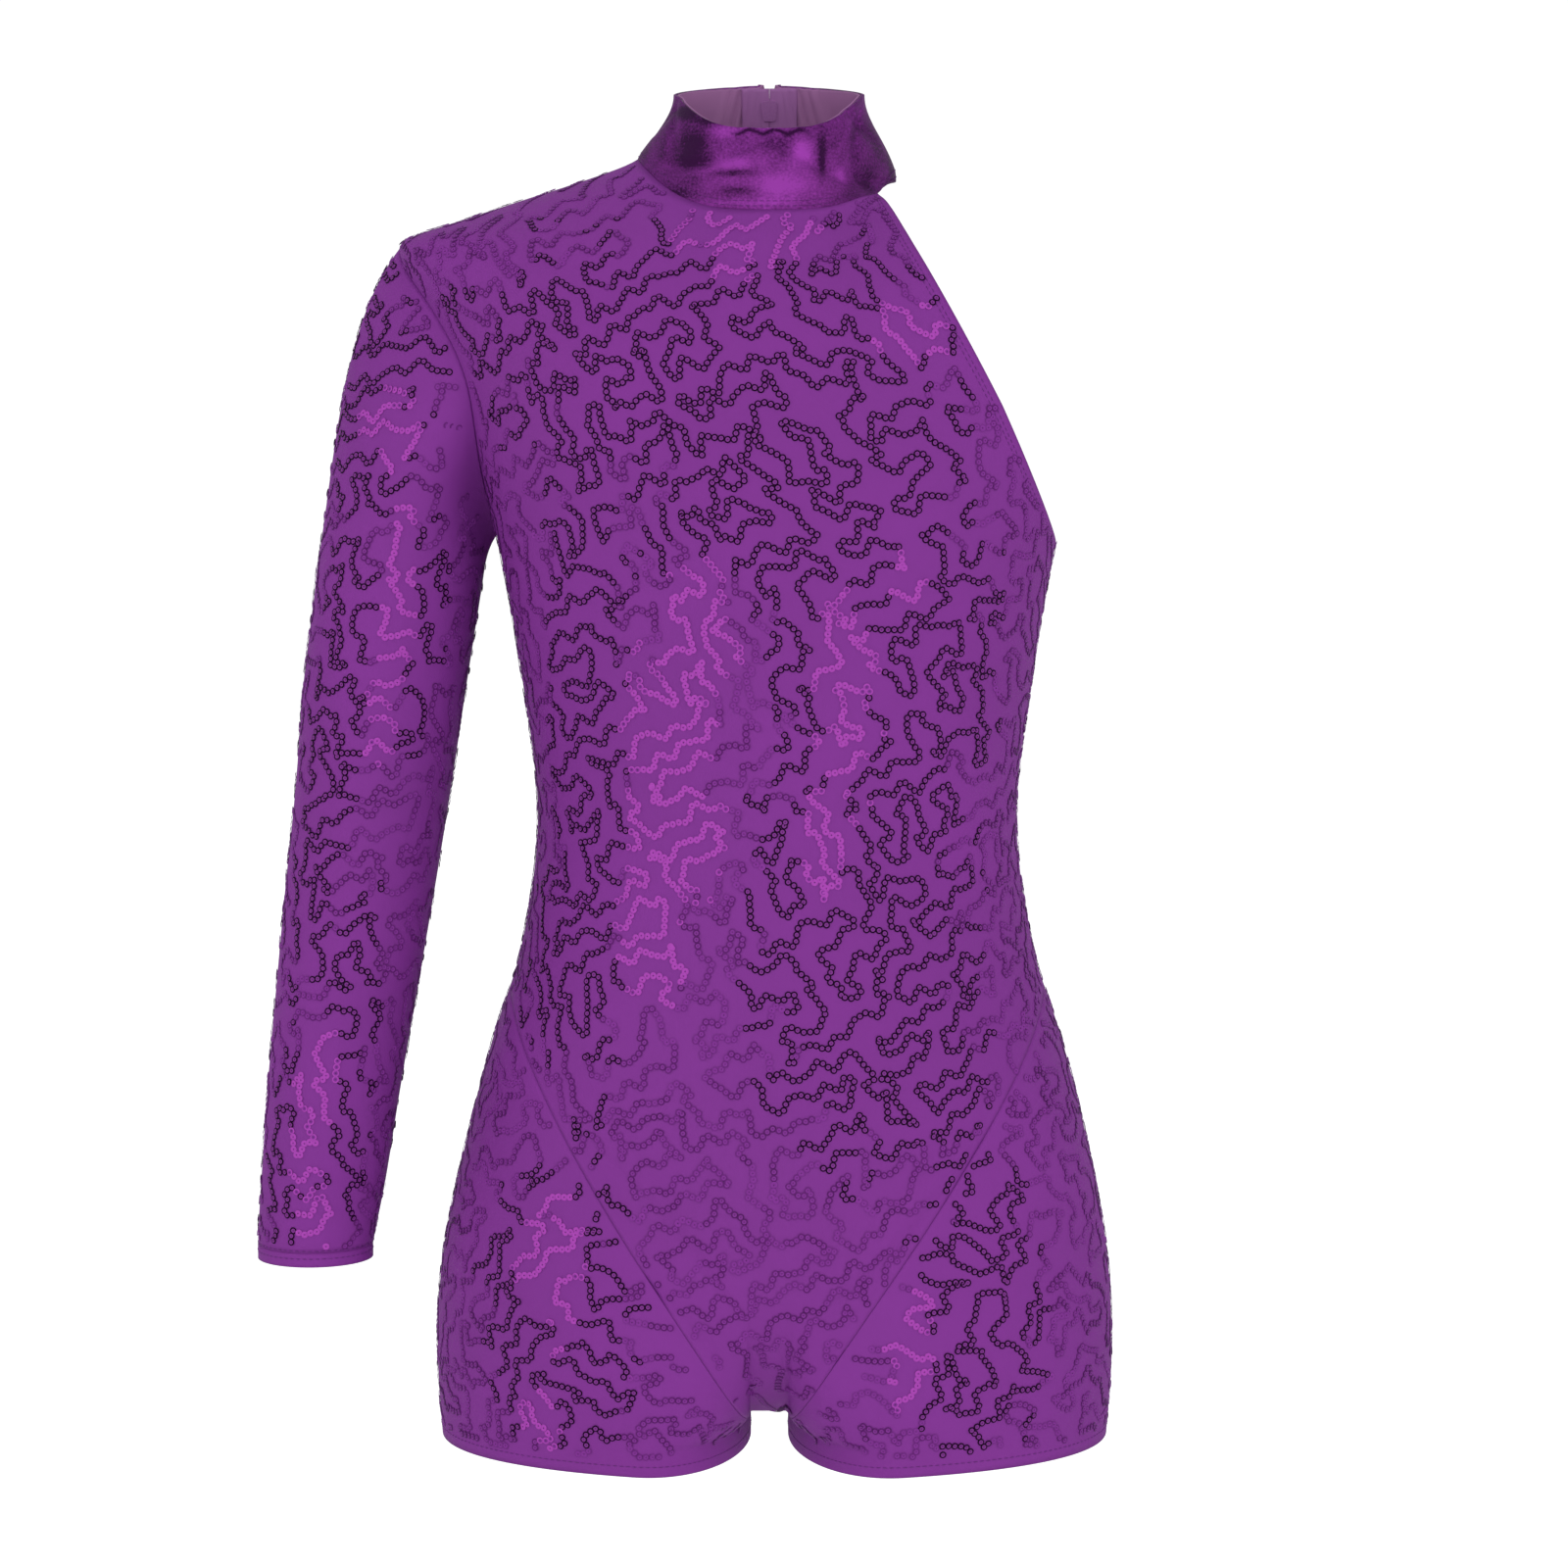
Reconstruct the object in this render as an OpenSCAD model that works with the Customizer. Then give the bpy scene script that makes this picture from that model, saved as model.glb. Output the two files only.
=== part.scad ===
// Gymnastics leotard: one long sleeve, one bare shoulder, boy-short legs, zipped stand collar.
// Millimetres, +Z up. The wearer faces -Y and +X is the wearer's left.
// The origin is the centre of the neck opening. Heights in the functions are measured up
// from about the leg hems, and place() turns them into the part's own frame.

/* [Body] */
// Height of the neck opening above the leg hems
neck_h = 571; // [566:1:576]
// Half width of the hips
hip_w = 145; // [141:1:148]
// Half width of the waist
waist_w = 102; // [99:1:106]
// Half width of the chest under the arms
chest_w = 118.5; // [115:0.5:121]
// Half width of the virtual shoulders, where the sleeve is set in
shoulder_w = 156; // [153:1:158]
// Distance that the trunk lies to the wearer's left of the centre line
trunk_shift = 3.4; // [0:0.1:4]
// Height of the crotch above the hems
crotch_h = 10; // [8:1:14]
// Height of the side seam's lower end, where the leg line meets it
leg_line_h = 195; // [185:1:205]
// Half of the gap between the legs
leg_gap = 8; // [6:0.5:9]

/* [Cloth] */
// Thickness of the sequinned knit
cloth_t = 1.2; // [1:0.1:1.4]
// Thickness of the collar's foil knit
foil_t = 1.0; // [0.9:0.1:1.1]
// Thickness of linings and turned hems
lining_t = 0.8; // [0.6:0.1:0.9]
// Gap left between neighbouring panels at a seam
seam_gap = 0.3; // [0.2:0.05:0.4]
// Depth of the turned hems
hem_d = 5; // [4:0.5:7]

/* [Sleeve] */
// Radius of the cuff's opening
cuff_r = 22.6; // [21:0.1:23]
// Height of the cuff above the leg hems
cuff_h = 77; // [70:1:85]
// Length of the cuff's hem
cuff_l = 6; // [5:0.5:8]

/* [Zip] */
// Radius of the arc along which the back zip lies
zip_arc_r = 510; // [505:1:515]
// Height of the zip's bottom stop
zip_low_h = 305; // [300:1:315]
// Width of one zip tape
tape_w = 12; // [11:0.5:13]
// Half width of the slot between the fabric edges beside the chain
zip_slot = 5; // [4.5:0.1:5.5]
// Length of the pull tab
tab_l = 25; // [20:1:28]

/* [Hidden] */

// Colours
sequin_purple = [0.52, 0.21, 0.60];
foil_purple = [0.50, 0.18, 0.58];
matte_mauve = [0.50, 0.31, 0.51];
zip_purple = [0.60, 0.36, 0.62];
elastic_white = [0.90, 0.89, 0.90];

// Slices of the trunk at a height: half width, depth to the front, depth to the back
WIDTHS = [[-4, hip_w - 2], [30, hip_w], [60, hip_w - 0.5], [90, hip_w - 4], [132, hip_w - 13],
    [172, hip_w - 23.5], [210, waist_w + 7.5], [265, waist_w], [320, waist_w + 5.5], [385, chest_w],
    [443, shoulder_w - 22], [479, shoulder_w - 10], [503, shoulder_w], [510, shoulder_w - 2.5],
    [518, 132], [527, 108], [535, 85.5], [543, 66], [552, 56], [575, 50]];
FRONTS = [[-4, 84], [40, 90], [90, 92], [140, 90], [200, 86], [265, 80], [320, 83], [385, 90],
    [430, 91], [470, 84], [500, 70], [520, 56], [540, 44], [560, 40]];
BACKS = [[-4, 92], [40, 98], [90, 106], [120, 105], [160, 97], [200, 86], [235, 78.5], [262, 76.5]];
// Sleeve slices: height, centre x, half width, half depth, centre y
SLEEVE = [[83, -194.6, 24.6, 24.6, -15], [90, -193.8, 25.2, 25.2, -15], [111, -191, 26.6, 27, -14],
    [153, -186, 28.5, 29, -12], [195, -180.3, 30.3, 31, -10], [237, -174.6, 31.9, 33, -8],
    [279, -168.8, 33.1, 35, -7], [321, -163.8, 34.6, 36, -6], [363, -157.7, 35.3, 37, -5],
    [372, -156.5, 35.5, 37.5, -5]];
hip_shift = 1.2;         // how much less the hips lie to the wearer's left than the waist
trunk_y = -5;            // where the side seams lie in depth
slice_n = 2.5;           // squareness of a slice
pinch = 48;              // how far the crotch pinches into the thighs
pinch_h = 70;            // height over which the pinch fades
zip_flat = 14;           // half width of the flat strip that carries the zip
zip_arc_h = 380;         // height of the arc's furthest point
zip_arc_y = -427;        // depth of the arc's centre
zip_top_h = 576;         // height of the zip's upper end
underarm_h = 386;        // height of the sleeve's underarm
shoulder_h = 507;        // height of the shoulder tip
bare_h = 382;            // height of the bare arm's underarm
bare_top_x = 49;         // where the bare armhole meets the collar
bare_bow = 1.5;          // how far the bare armhole's edge bows outwards
hem_low = -2.5;          // height of the leg hems on the inside
outside_rise = 3.5;      // how much higher they are on the outside
line_bend = 0.8;         // bend of the leg line
neck_side_h = [544, 540];    // heights of the collar seam on the sleeve's side and the bare side
neck_front_h = 520;      // and at the front
neck_back_h = 541;       // and at the back
neck_base = [55.5, 56];   // half width and half depth of the collar seam
neck_top = [40.3, 43];   // half width and half depth of the collar's top edge
collar_top = [554, 571, 578.5];    // heights of the top edge: front, side, back

clear = 0.1;             // clearance between stacked layers
inner_1 = cloth_t + clear;         // depth of the first layer inside the sequinned knit
elastic_t = 0.5;         // thickness of the flat elastics
band_gap = 0.4;          // clearance of the armhole's elastic and of the gusset inside the knit
back_gap = 1.8;          // the same again behind, where the edge twists more
cuff_x = -194.7;         // centre of the cuff
cuff_y = -15;
tip_v = 22 / 26;         // the row at which a panel reaches the shoulder tip
panel_rows = 26;         // rows and columns of the front panel's grid
panel_cols = 36;
slider_h = 569;          // height of the closed slider's middle
slider_l = 9;            // its length
tape_in = 2.7;           // depth of the tapes below the fabric's outer face
tape_t = 0.6;            // their thickness
coil_gap = 0.65;         // half of the slot in which the slider's post runs
coil_w = 1.7;            // width of one coil
coil_t = 1.2;            // height of one coil
plate_top = 0.2;         // depth of the slider's outer plate
plate_t = 0.9;           // thickness of the slider's plates
plate_low = 3.5;         // depth of the slider's inner plate
pin_y = 1.1;             // how far the pull's pin stands off the fabric
pin_r = 0.5;             // radius of the pull's pin
ear_in = 1.3;            // inner and outer distance of the ears that hold the pin
ear_out = 2.1;
ear_r = 1.0;             // radius of the ears and of the pull's eye
tab_t = 0.9;             // thickness of the pull tab

// A smooth curve through stations [height, value, ...], for the value in column c
function knot(s, h, i = 0) = i >= len(s) - 2 || h < s[i + 1][0] ? i : knot(s, h, i + 1);
function grade(s, i, c) = let (a = max(i - 1, 0), b = min(i + 1, len(s) - 1))
    (s[b][c] - s[a][c]) / (s[b][0] - s[a][0]);
function spline(s, h, c = 1) =
    let (g = min(max(h, s[0][0]), s[len(s) - 1][0]), i = knot(s, g), w = s[i + 1][0] - s[i][0],
        t = (g - s[i][0]) / w)
    (2 * t ^ 3 - 3 * t ^ 2 + 1) * s[i][c] + (t ^ 3 - 2 * t ^ 2 + t) * w * grade(s, i, c)
    + (3 * t ^ 2 - 2 * t ^ 3) * s[i + 1][c] + (t ^ 3 - t ^ 2) * w * grade(s, i + 1, c);

function mix(a, b, t) = a + (b - a) * t;
function clamp(t) = min(max(t, 0), 1);
function smooth(t) = let (c = clamp(t)) c * c * (3 - 2 * c);
function place(p) = [p.x, p.y, p.z - neck_h];

// The trunk. Its slices are rounded rectangles that close to nothing along the shoulder line
// and at the crotch, so the front and the back meet there and at the side seams.
function width(h) = spline(WIDTHS, h);
function shift(h) = trunk_shift * (1 - smooth((h - 440) / 80)) - hip_shift * (1 - smooth((h - 40) / 120));
function mid_y(h) = trunk_y * (1 - smooth((h - 400) / 140));
function zip_y(h) = zip_arc_y + sqrt(zip_arc_r ^ 2 - (h - zip_arc_h) ^ 2);
function back_depth(h) = let (low = spline(BACKS, h), arc = zip_y(max(h, 250)) - mid_y(h))
    mix(low, arc, smooth((h - 255) / 40));
function slice(t) = (1 - min(t, 1) ^ slice_n) ^ (1 / slice_n);
function fade(h) = let (q = clamp((h - crotch_h) / pinch_h)) 1 - sqrt(1 - (1 - q) ^ 2);
function crotch(x, h) = let (t = clamp((abs(x) - leg_gap) / pinch))
    1 - fade(h) * (1 - sqrt(1 - (1 - t) ^ 2));
function front_y(x, h) = let (t = abs(x - shift(h)) / width(h))
    mid_y(h) - spline(FRONTS, h) * slice(t) * crotch(x, h);
function back_y(x, h) = let (w = width(h), t = max(abs(x - shift(h)) - zip_flat, 0) / (w - zip_flat))
    mid_y(h) + back_depth(h) * slice(t) * crotch(x, h);
function across(a, h) = shift(h) + width(h) * sin(a);
function angle_at(x, h) = asin(min(max((x - shift(h)) / width(h), -1), 1));
function front(a, h) = let (x = across(a, h)) [x, front_y(x, h) - seam_gap / 2, h];
function back(a, h) = let (x = across(a, h)) [x, back_y(x, h) + seam_gap / 2, h];

// The leg line runs from the crotch, m = 0, to the side seam, m = 1, on side sg
function outer_x(sg, h) = shift(h) + sg * width(h);
function leg_x(sg, m, h) = mix(sg * leg_gap, outer_x(sg, h), m);
function line_h(m) = mix(crotch_h, leg_line_h, m ^ line_bend);
function ease(a) = (1 - cos(180 * a)) / 2;

// The collar seam and the collar's top edge, by the angle q round the neck from the front
function ring_h(q, lo, side, hi) = abs(q) <= 90 ? mix(lo, side, abs(sin(q)) ^ 3.2)
    : mix(side, hi, abs(cos(q)));
function seam_h(q) = ring_h(q, neck_front_h, neck_side_h[q < 0 ? 0 : 1], neck_back_h);
function neck_seam(q) = let (h = seam_h(q))
    [neck_base[0] * sin(q), abs(q) <= 90 ? -neck_base[1] * cos(q)
        : zip_y(neck_back_h) * ring_flat(q, neck_base[0]), h];
// The back of a ring stays flat across the zip and then rounds off
function ring_flat(q, w) = let (t = max(w * abs(sin(q)) - zip_flat, 0) / (w - zip_flat))
    sqrt(max(1 - t * t, 0));
function neck_edge(q) = let (h = ring_h(q, collar_top[0], collar_top[1], collar_top[2]))
    [neck_top[0] * sin(q), abs(q) <= 90 ? -neck_top[1] * cos(q)
        : zip_y(collar_top[2]) * ring_flat(q, neck_top[0]), h];
function collar(q, v) =
    let (a = neck_seam(q), b = neck_edge(q), h = mix(a.z, b.z, v), k = sin(90 * v) ^ 1.3,
        arc = (zip_y(neck_back_h) - zip_y(mix(neck_back_h, collar_top[2], v)))
            / (zip_y(neck_back_h) - zip_y(collar_top[2])),
        y = mix(a.y, b.y, mix(k, arc, smooth(-cos(q) * 1.6 - 0.2))))
    [mix(a.x, b.x, k), y, h];

// Panel edges, each a function of v from the leg line up, giving [angle, height]
function armscye(q) = [90 - 19.5 * sin(180 * q ^ 1.2), mix(underarm_h, shoulder_h, q)];
function sleeve_side(v) = v < 0.5 ? [90, mix(leg_line_h, underarm_h, v * 2)]
    : v < tip_v ? armscye((v - 0.5) / (tip_v - 0.5))
    : [90, mix(shoulder_h, neck_side_h[0], (v - tip_v) / (1 - tip_v))];
bare_q = asin(bare_top_x / neck_base[0]);
function bare_top_h(sg) = seam_h(sg < 0 ? bare_q : 180 - bare_q);
function bare_x(q) = mix(outer_x(1, bare_h), bare_top_x, q) + bare_bow * sin(180 * q);
function bare_side(sg, v) = v < 0.5 ? [90, mix(leg_line_h, bare_h, v * 2)]
    : let (q = (v - 0.5) * 2, h = mix(bare_h, bare_top_h(sg), q)) [angle_at(bare_x(q), h), h];

// A point inside four edges: a Coons patch in the plane of angle and height
function coons(s, v, bottom, top, left, right, c00, c10, c01, c11) =
    bottom * (1 - v) + top * v + left * (1 - s) + right * s
    - c00 * (1 - s) * (1 - v) - c10 * s * (1 - v) - c01 * (1 - s) * v - c11 * s * v;
function to_angle(p, lead = 0) = [angle_at(p.x, p.z) + lead, p.z];
// How far the collar seam's side point must lead to reach the shoulder line
function shoulder_lead() = angle_at(-neck_base[0], neck_side_h[0]) + 90;
// The panel's upper rows drift onto the true collar seam
function settle(p, edge, flat, v) = p + (edge - flat) * smooth((v - tip_v) / (1 - tip_v));

function front_line(s) =
    let (g = 2 * s - 1, sg = g < 0 ? -1 : 1, m = ease(max(abs(g) - 0.08, 0) / 0.92), h = line_h(m),
        x = abs(g) < 0.08 ? leg_gap * g / 0.08 : leg_x(sg, m, h))
    [angle_at(x, h), h + seam_gap];
function front_point(s, v) =
    let (q = mix(-90, bare_q, s), edge = neck_seam(q), l = sleeve_side(v), r = bare_side(-1, v),
        l0 = sleeve_side(0), r0 = bare_side(-1, 0), l1 = sleeve_side(1), r1 = bare_side(-1, 1),
        top = to_angle(edge, -shoulder_lead() * (1 - s) ^ 3),
        p = coons(s, v, front_line(s), top, [-l[0], l[1]], r, [-l0[0], l0[1]], r0, [-l1[0], l1[1]], r1))
    settle(front(min(max(p[0], -90), 90), p[1]), edge - [0, seam_gap / 2, 0], front(top[0], top[1]), v);

// Half of the back on side sg, with s = 0 at the centre and s = 1 at the side
function centre_x(sg, h) = sg * mix(seam_gap, zip_slot, smooth((h - zip_low_h + 14) / 8));
function back_line(sg, s) = let (m = ease(s), h = line_h(m)) [angle_at(leg_x(sg, m, h), h), h + seam_gap];
function back_mid(sg, v) = let (h = mix(crotch_h, neck_back_h, v))
    [angle_at(mix(sg * leg_gap * 0.04, centre_x(sg, h), smooth(v * 30)), h), h];
function back_edge(sg, v) = let (e = sg < 0 ? sleeve_side(v) : bare_side(1, v)) [sg * e[0], e[1]];
function back_point(sg, s, v) =
    let (side_q = sg < 0 ? 90 : 180 - bare_q, q = mix(180 - asin(zip_slot / neck_base[0]), side_q, s),
        edge = neck_seam(sg * q), top = to_angle(edge, sg < 0 ? -shoulder_lead() * s ^ 3 : 0),
        low = s < 0.1 ? [angle_at(sg * (seam_gap + (leg_gap - seam_gap) * s / 0.1), crotch_h),
            crotch_h + seam_gap] : back_line(sg, (s - 0.1) / 0.9),
        p = coons(s, v, low, top, back_mid(sg, v), back_edge(sg, v),
            [angle_at(sg * seam_gap, crotch_h), crotch_h], back_edge(sg, 0),
            back_mid(sg, 1), back_edge(sg, 1)))
    settle(back(min(max(p[0], -90), 90), p[1]), edge + [0, seam_gap / 2, 0], back(top[0], top[1]), v);

// Round a leg: k = 0 at the inside, 0.25 at the front, 0.5 outside, 0.75 at the back
function hem_h(m) = hem_low + outside_rise * m;
function leg_turn(sg, k) = sg > 0 ? k : k < 0.5 ? 0.5 - k : 1.5 - k;
function round_leg(sg, m, k, h) = let (x = leg_x(sg, m, h))
    [x, k == 0 || k == 0.5 || k == 1 ? mid_y(h) : k < 0.5 ? front_y(x, h) : back_y(x, h), h];
function inside_to_out(k) = ease(1 - abs(1 - 2 * k));
function leg_point(sg, k, v) = let (m = inside_to_out(k))
    round_leg(sg, m, k, mix(hem_h(m), line_h(m) - seam_gap, v));
function leg_level(sg, k, lift) = let (m = inside_to_out(k)) round_leg(sg, m, k, hem_h(m) + lift);

// Round the sleeve: k = 0 outside, 0.25 at the front, 0.5 inside, 0.75 at the back
function sleeve_ring(k, h) = [for (c = [1:4]) spline(SLEEVE, h, c)] * [[1, 0, 0], [-cos(360 * k), 0, 0],
    [0, -sin(360 * k), 0], [0, 1, 0]] + [0, 0, h];
function sleeve_head(k) = let (q = (1 + cos(360 * k)) / 2, e = armscye(q))
    k <= 0.5 ? front(-e[0], e[1]) : back(-e[0], e[1]);
sleeve_top_h = 372;
sleeve_low_h = cuff_h + cuff_l + seam_gap;
function sleeve_point(k, v) = v < 0.6 ? sleeve_ring(k, mix(sleeve_low_h, sleeve_top_h, v / 0.6))
    : let (t = (v - 0.6) / 0.4, a = sleeve_ring(k, sleeve_top_h), b = sleeve_head(k) - [seam_gap, 0, 0],
        l = norm(b - a), da = [0.18, 0, 1] * l, db = [0.55, 0, 0.7] * l)
    (2 * t ^ 3 - 3 * t ^ 2 + 1) * a + (t ^ 3 - 2 * t ^ 2 + t) * da
    + (3 * t ^ 2 - 2 * t ^ 3) * b + (t ^ 3 - t ^ 2) * db;

// Row i of the bare armhole's edge, inset into the panel along the facets of its outer column
function body_point(sg, s, v) = sg < 0 ? front_point(s, v) : back_point(1, s, v);
function bare_point(sg, i, inset) = let (v = i / panel_rows, e = body_point(sg, 1, v),
        n = body_point(sg, 1 - (sg < 0 ? 1 : 2) / panel_cols, v))
    e + (n - e) * inset / norm(n - e);

// A cloth layer: a grid of points, moved in by start and given the thickness t.
// Columns run anticlockwise seen from above and rows run upwards.
function step_j(g, i, j, ring) = let (n = len(g[0]))
    ring ? g[i][(j + 1) % n] - g[i][(j + n - 1) % n] : g[i][min(j + 1, n - 1)] - g[i][max(j - 1, 0)];
function step_i(g, i, j) = g[min(i + 1, len(g) - 1)][j] - g[max(i - 1, 0)][j];
function unit(v) = v / max(norm(v), 0.000001);
function inward(g, i, j, ring) = unit(cross(step_i(g, i, j), step_j(g, i, j, ring)));
function layer(g, d, ring) = [for (i = [0:len(g) - 1]) for (j = [0:len(g[0]) - 1])
    place(g[i][j] + d * inward(g, i, j, ring))];
module cloth(g, t, start = 0, ring = false) {
    rows = len(g);
    cols = len(g[0]);
    far = rows * cols;
    turns = ring ? cols : cols - 1;
    skin = [for (i = [0:rows - 2]) for (j = [0:turns - 1])
        let (a = i * cols + j, b = i * cols + (j + 1) % cols, c = a + cols, d = b + cols)
        each [[a, c, d], [a, d, b], [a + far, b + far, d + far], [a + far, d + far, c + far]]];
    edges = [for (j = [0:turns - 1])
        let (a = j, b = (j + 1) % cols, c = a + far - cols, d = b + far - cols)
        each [[a, b, b + far], [a, b + far, a + far], [d, c, c + far], [d, c + far, d + far]]];
    sides = ring ? [] : [for (i = [0:rows - 2])
        let (a = i * cols, c = a + cols, b = a + cols - 1, d = b + cols)
        each [[c, a, a + far], [c, a + far, c + far], [b, d, d + far], [b, d + far, b + far]]];
    polyhedron(concat(layer(g, start, ring), layer(g, start + t, ring)), concat(skin, edges, sides));
}

// Sewn panels
module front_body() {
    color(sequin_purple) cloth([for (v = [0:panel_rows]) [for (s = [0:panel_cols])
        front_point(s / panel_cols, v / panel_rows)]], cloth_t);
}
module back_half(sg) {
    half = panel_cols / 2;
    color(sequin_purple) cloth([for (v = [0:panel_rows]) [for (s = [0:half])
        back_point(sg, sg > 0 ? 1 - s / half : s / half, v / panel_rows)]], cloth_t);
}
module back_left() {
    back_half(1);
}
module back_right() {
    back_half(-1);
}
module sleeve() {
    color(sequin_purple) cloth([for (v = [0:22]) [for (k = [0:27]) sleeve_point(k / 28, v / 22)]],
        cloth_t, 0, true);
}

// Rings round a leg: the leg itself, its turned hem and the elastic inside the hem
module leg(sg) {
    color(sequin_purple) cloth([for (v = [0:12]) [for (k = [0:31])
        leg_point(sg, leg_turn(sg, k / 32), v / 12)]], cloth_t, 0, true);
}
module leg_band(sg, low, high, start, t) {
    cloth([for (h = [low, high]) [for (k = [0:31]) leg_level(sg, leg_turn(sg, k / 32), h)]],
        t, start, true);
}
module leg_left() {
    leg(1);
}
module leg_right() {
    leg(-1);
}
module leg_hem_left() {
    color(sequin_purple) leg_band(1, 0, hem_d, inner_1 + elastic_t + clear, lining_t);
}
module leg_hem_right() {
    color(sequin_purple) leg_band(-1, 0, hem_d, inner_1 + elastic_t + clear, lining_t);
}
module leg_elastic_left() {
    color(elastic_white) leg_band(1, 0.5, hem_d - 0.5, inner_1, elastic_t);
}
module leg_elastic_right() {
    color(elastic_white) leg_band(-1, 0.5, hem_d - 0.5, inner_1, elastic_t);
}

// The collar: foil knit outside, matte lining inside, elastic between them along the top
module collar_layer(low, high, rows, start, t) {
    cut = asin(zip_slot / neck_base[0]);
    cloth([for (v = [0:rows]) [for (j = [0:40]) let (q = mix(cut - 180, 180 - cut, j / 40),
        p = collar(q, mix(low, high, v / rows))) [abs(j - 20) == 20 ? sign(q) * zip_slot : p.x, p.y, p.z]]],
        t, start);
}
module collar_shell() {
    color(foil_purple) collar_layer(0.01, 1, 6, 0, foil_t);
}
module collar_lining() {
    color(matte_mauve) collar_layer(0.02, 1, 6, foil_t + elastic_t + 2 * clear, lining_t);
}
module collar_elastic() {
    color(elastic_white) collar_layer(0.84, 0.98, 1, foil_t + clear, elastic_t);
}

// The bare armhole: a folded binding inside the edge, with an elastic in it
module bare_band(low, high, start, t) {
    half = panel_rows / 2;
    color(sequin_purple) for (sg = [-1, 1]) cloth([for (inset = [high, low]) [for (j = [0:half])
        bare_point(sg, sg < 0 ? panel_rows - j : half + j, inset)]], t, start + (sg < 0 ? 0 : back_gap));
}
module armhole_binding() {
    bare_band(0.6, 7, inner_1 + band_gap + elastic_t + clear, lining_t);
}
module armhole_elastic() {
    bare_band(0.6, 7, inner_1 + band_gap, elastic_t);
}

// The cuff's turned hem, a plain round ring
module cuff_hem() {
    color(sequin_purple) translate(place([cuff_x, cuff_y, cuff_h])) difference() {
        cylinder(h = cuff_l, r = cuff_r + 2, $fn = 72);
        translate([0, 0, -1]) cylinder(h = cuff_l + 2, r = cuff_r, $fn = 72);
    }
}

// Cotton lining inside the crotch, on the panels' own grid: one piece in front, two behind
module gusset_lining() {
    color(elastic_white) cloth([for (i = [2:7]) [for (j = [12:24])
        front_point(j / panel_cols, i / panel_rows)]], lining_t, inner_1 + band_gap);
    half = panel_cols / 2;
    color(elastic_white) for (sg = [-1, 1]) cloth([for (i = [2:7]) [for (j = [1:6])
        back_point(sg, (sg > 0 ? 7 - j : j) / half, i / panel_rows)]], lining_t, inner_1 + band_gap);
}

// Zip parts lie on an arc in the centre plane. The profile's x is the distance from the
// arc's axis and its y is the distance sideways.
function zip_turn(h) = asin((h - zip_arc_h) / zip_arc_r);
module on_arc(low, high) {
    translate(place([0, zip_arc_y, zip_arc_h])) rotate([90, 0, 90]) rotate([0, 0, zip_turn(low)])
        rotate_extrude(angle = zip_turn(high) - zip_turn(low), $fn = 720) children();
}
module strip(depth, t, side, w) {
    translate([zip_arc_r - depth - t, side]) square([t, w]);
}
module at_slider() {
    turn = zip_turn(slider_h);
    translate(place([0, zip_arc_y + zip_arc_r * cos(turn), zip_arc_h + zip_arc_r * sin(turn)]))
        rotate([turn, 0, 0]) children();
}
module zip_tape(sg) {
    color(zip_purple) mirror([sg < 0 ? 1 : 0, 0, 0]) on_arc(zip_low_h - 8, zip_top_h)
        strip(tape_in, tape_t, coil_gap, tape_w - coil_gap);
}
module zip_coil(sg) {
    color(zip_purple) mirror([sg < 0 ? 1 : 0, 0, 0]) on_arc(zip_low_h + 3, zip_top_h - 2.4)
        strip(tape_in - coil_t - 0.05, coil_t, coil_gap, coil_w);
}
module zip_tape_left() {
    zip_tape(1);
}
module zip_tape_right() {
    zip_tape(-1);
}
module zip_coil_left() {
    zip_coil(1);
}
module zip_coil_right() {
    zip_coil(-1);
}
module zip_top_stops() {
    color(zip_purple) for (sg = [-1, 1]) mirror([sg < 0 ? 1 : 0, 0, 0])
        on_arc(zip_top_h - 2.2, zip_top_h - 0.6) strip(tape_in - coil_t - 0.1, coil_t, coil_gap, coil_w);
}
module zip_bottom_stop() {
    color(zip_purple) on_arc(zip_low_h, zip_low_h + 2.6)
        strip(tape_in - coil_t - 0.1, coil_t, -coil_gap - coil_w, 2 * (coil_gap + coil_w));
}

// The slider: two plates joined by a post, flanges beside the coils, and two ears with a pin
module slider_plate(y, t) {
    translate([0, y, 0]) rotate([-90, 0, 0]) linear_extrude(t) hull() {
        for (x = [-2.2, 2.2]) translate([x, -slider_l / 2 + 1.4]) circle(1.4, $fn = 32);
        for (x = [-1.4, 1.4]) translate([x, slider_l / 2 - 1.4]) circle(1.4, $fn = 32);
    }
}
module zip_slider() {
    color(zip_purple) at_slider() {
        slider_plate(-plate_top - plate_t, plate_t);
        slider_plate(-plate_low - plate_t, plate_t);
        translate([-0.4, -plate_low - 0.1, slider_l / 2 - 2.6]) cube([0.8, plate_low - plate_top - 0.8, 1.8]);
        for (x = [-ear_out, ear_in]) {
            translate([x, -plate_top - 0.1, -ear_r])
                cube([ear_out - ear_in, pin_y + plate_top + 0.1, 2 * ear_r]);
            translate([x, pin_y, 0]) rotate([0, 90, 0])
                cylinder(h = ear_out - ear_in, r = ear_r, $fn = 32);
        }
        translate([-ear_out, pin_y, 0]) rotate([0, 90, 0]) cylinder(h = 2 * ear_out, r = pin_r, $fn = 24);
    }
}
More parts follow.
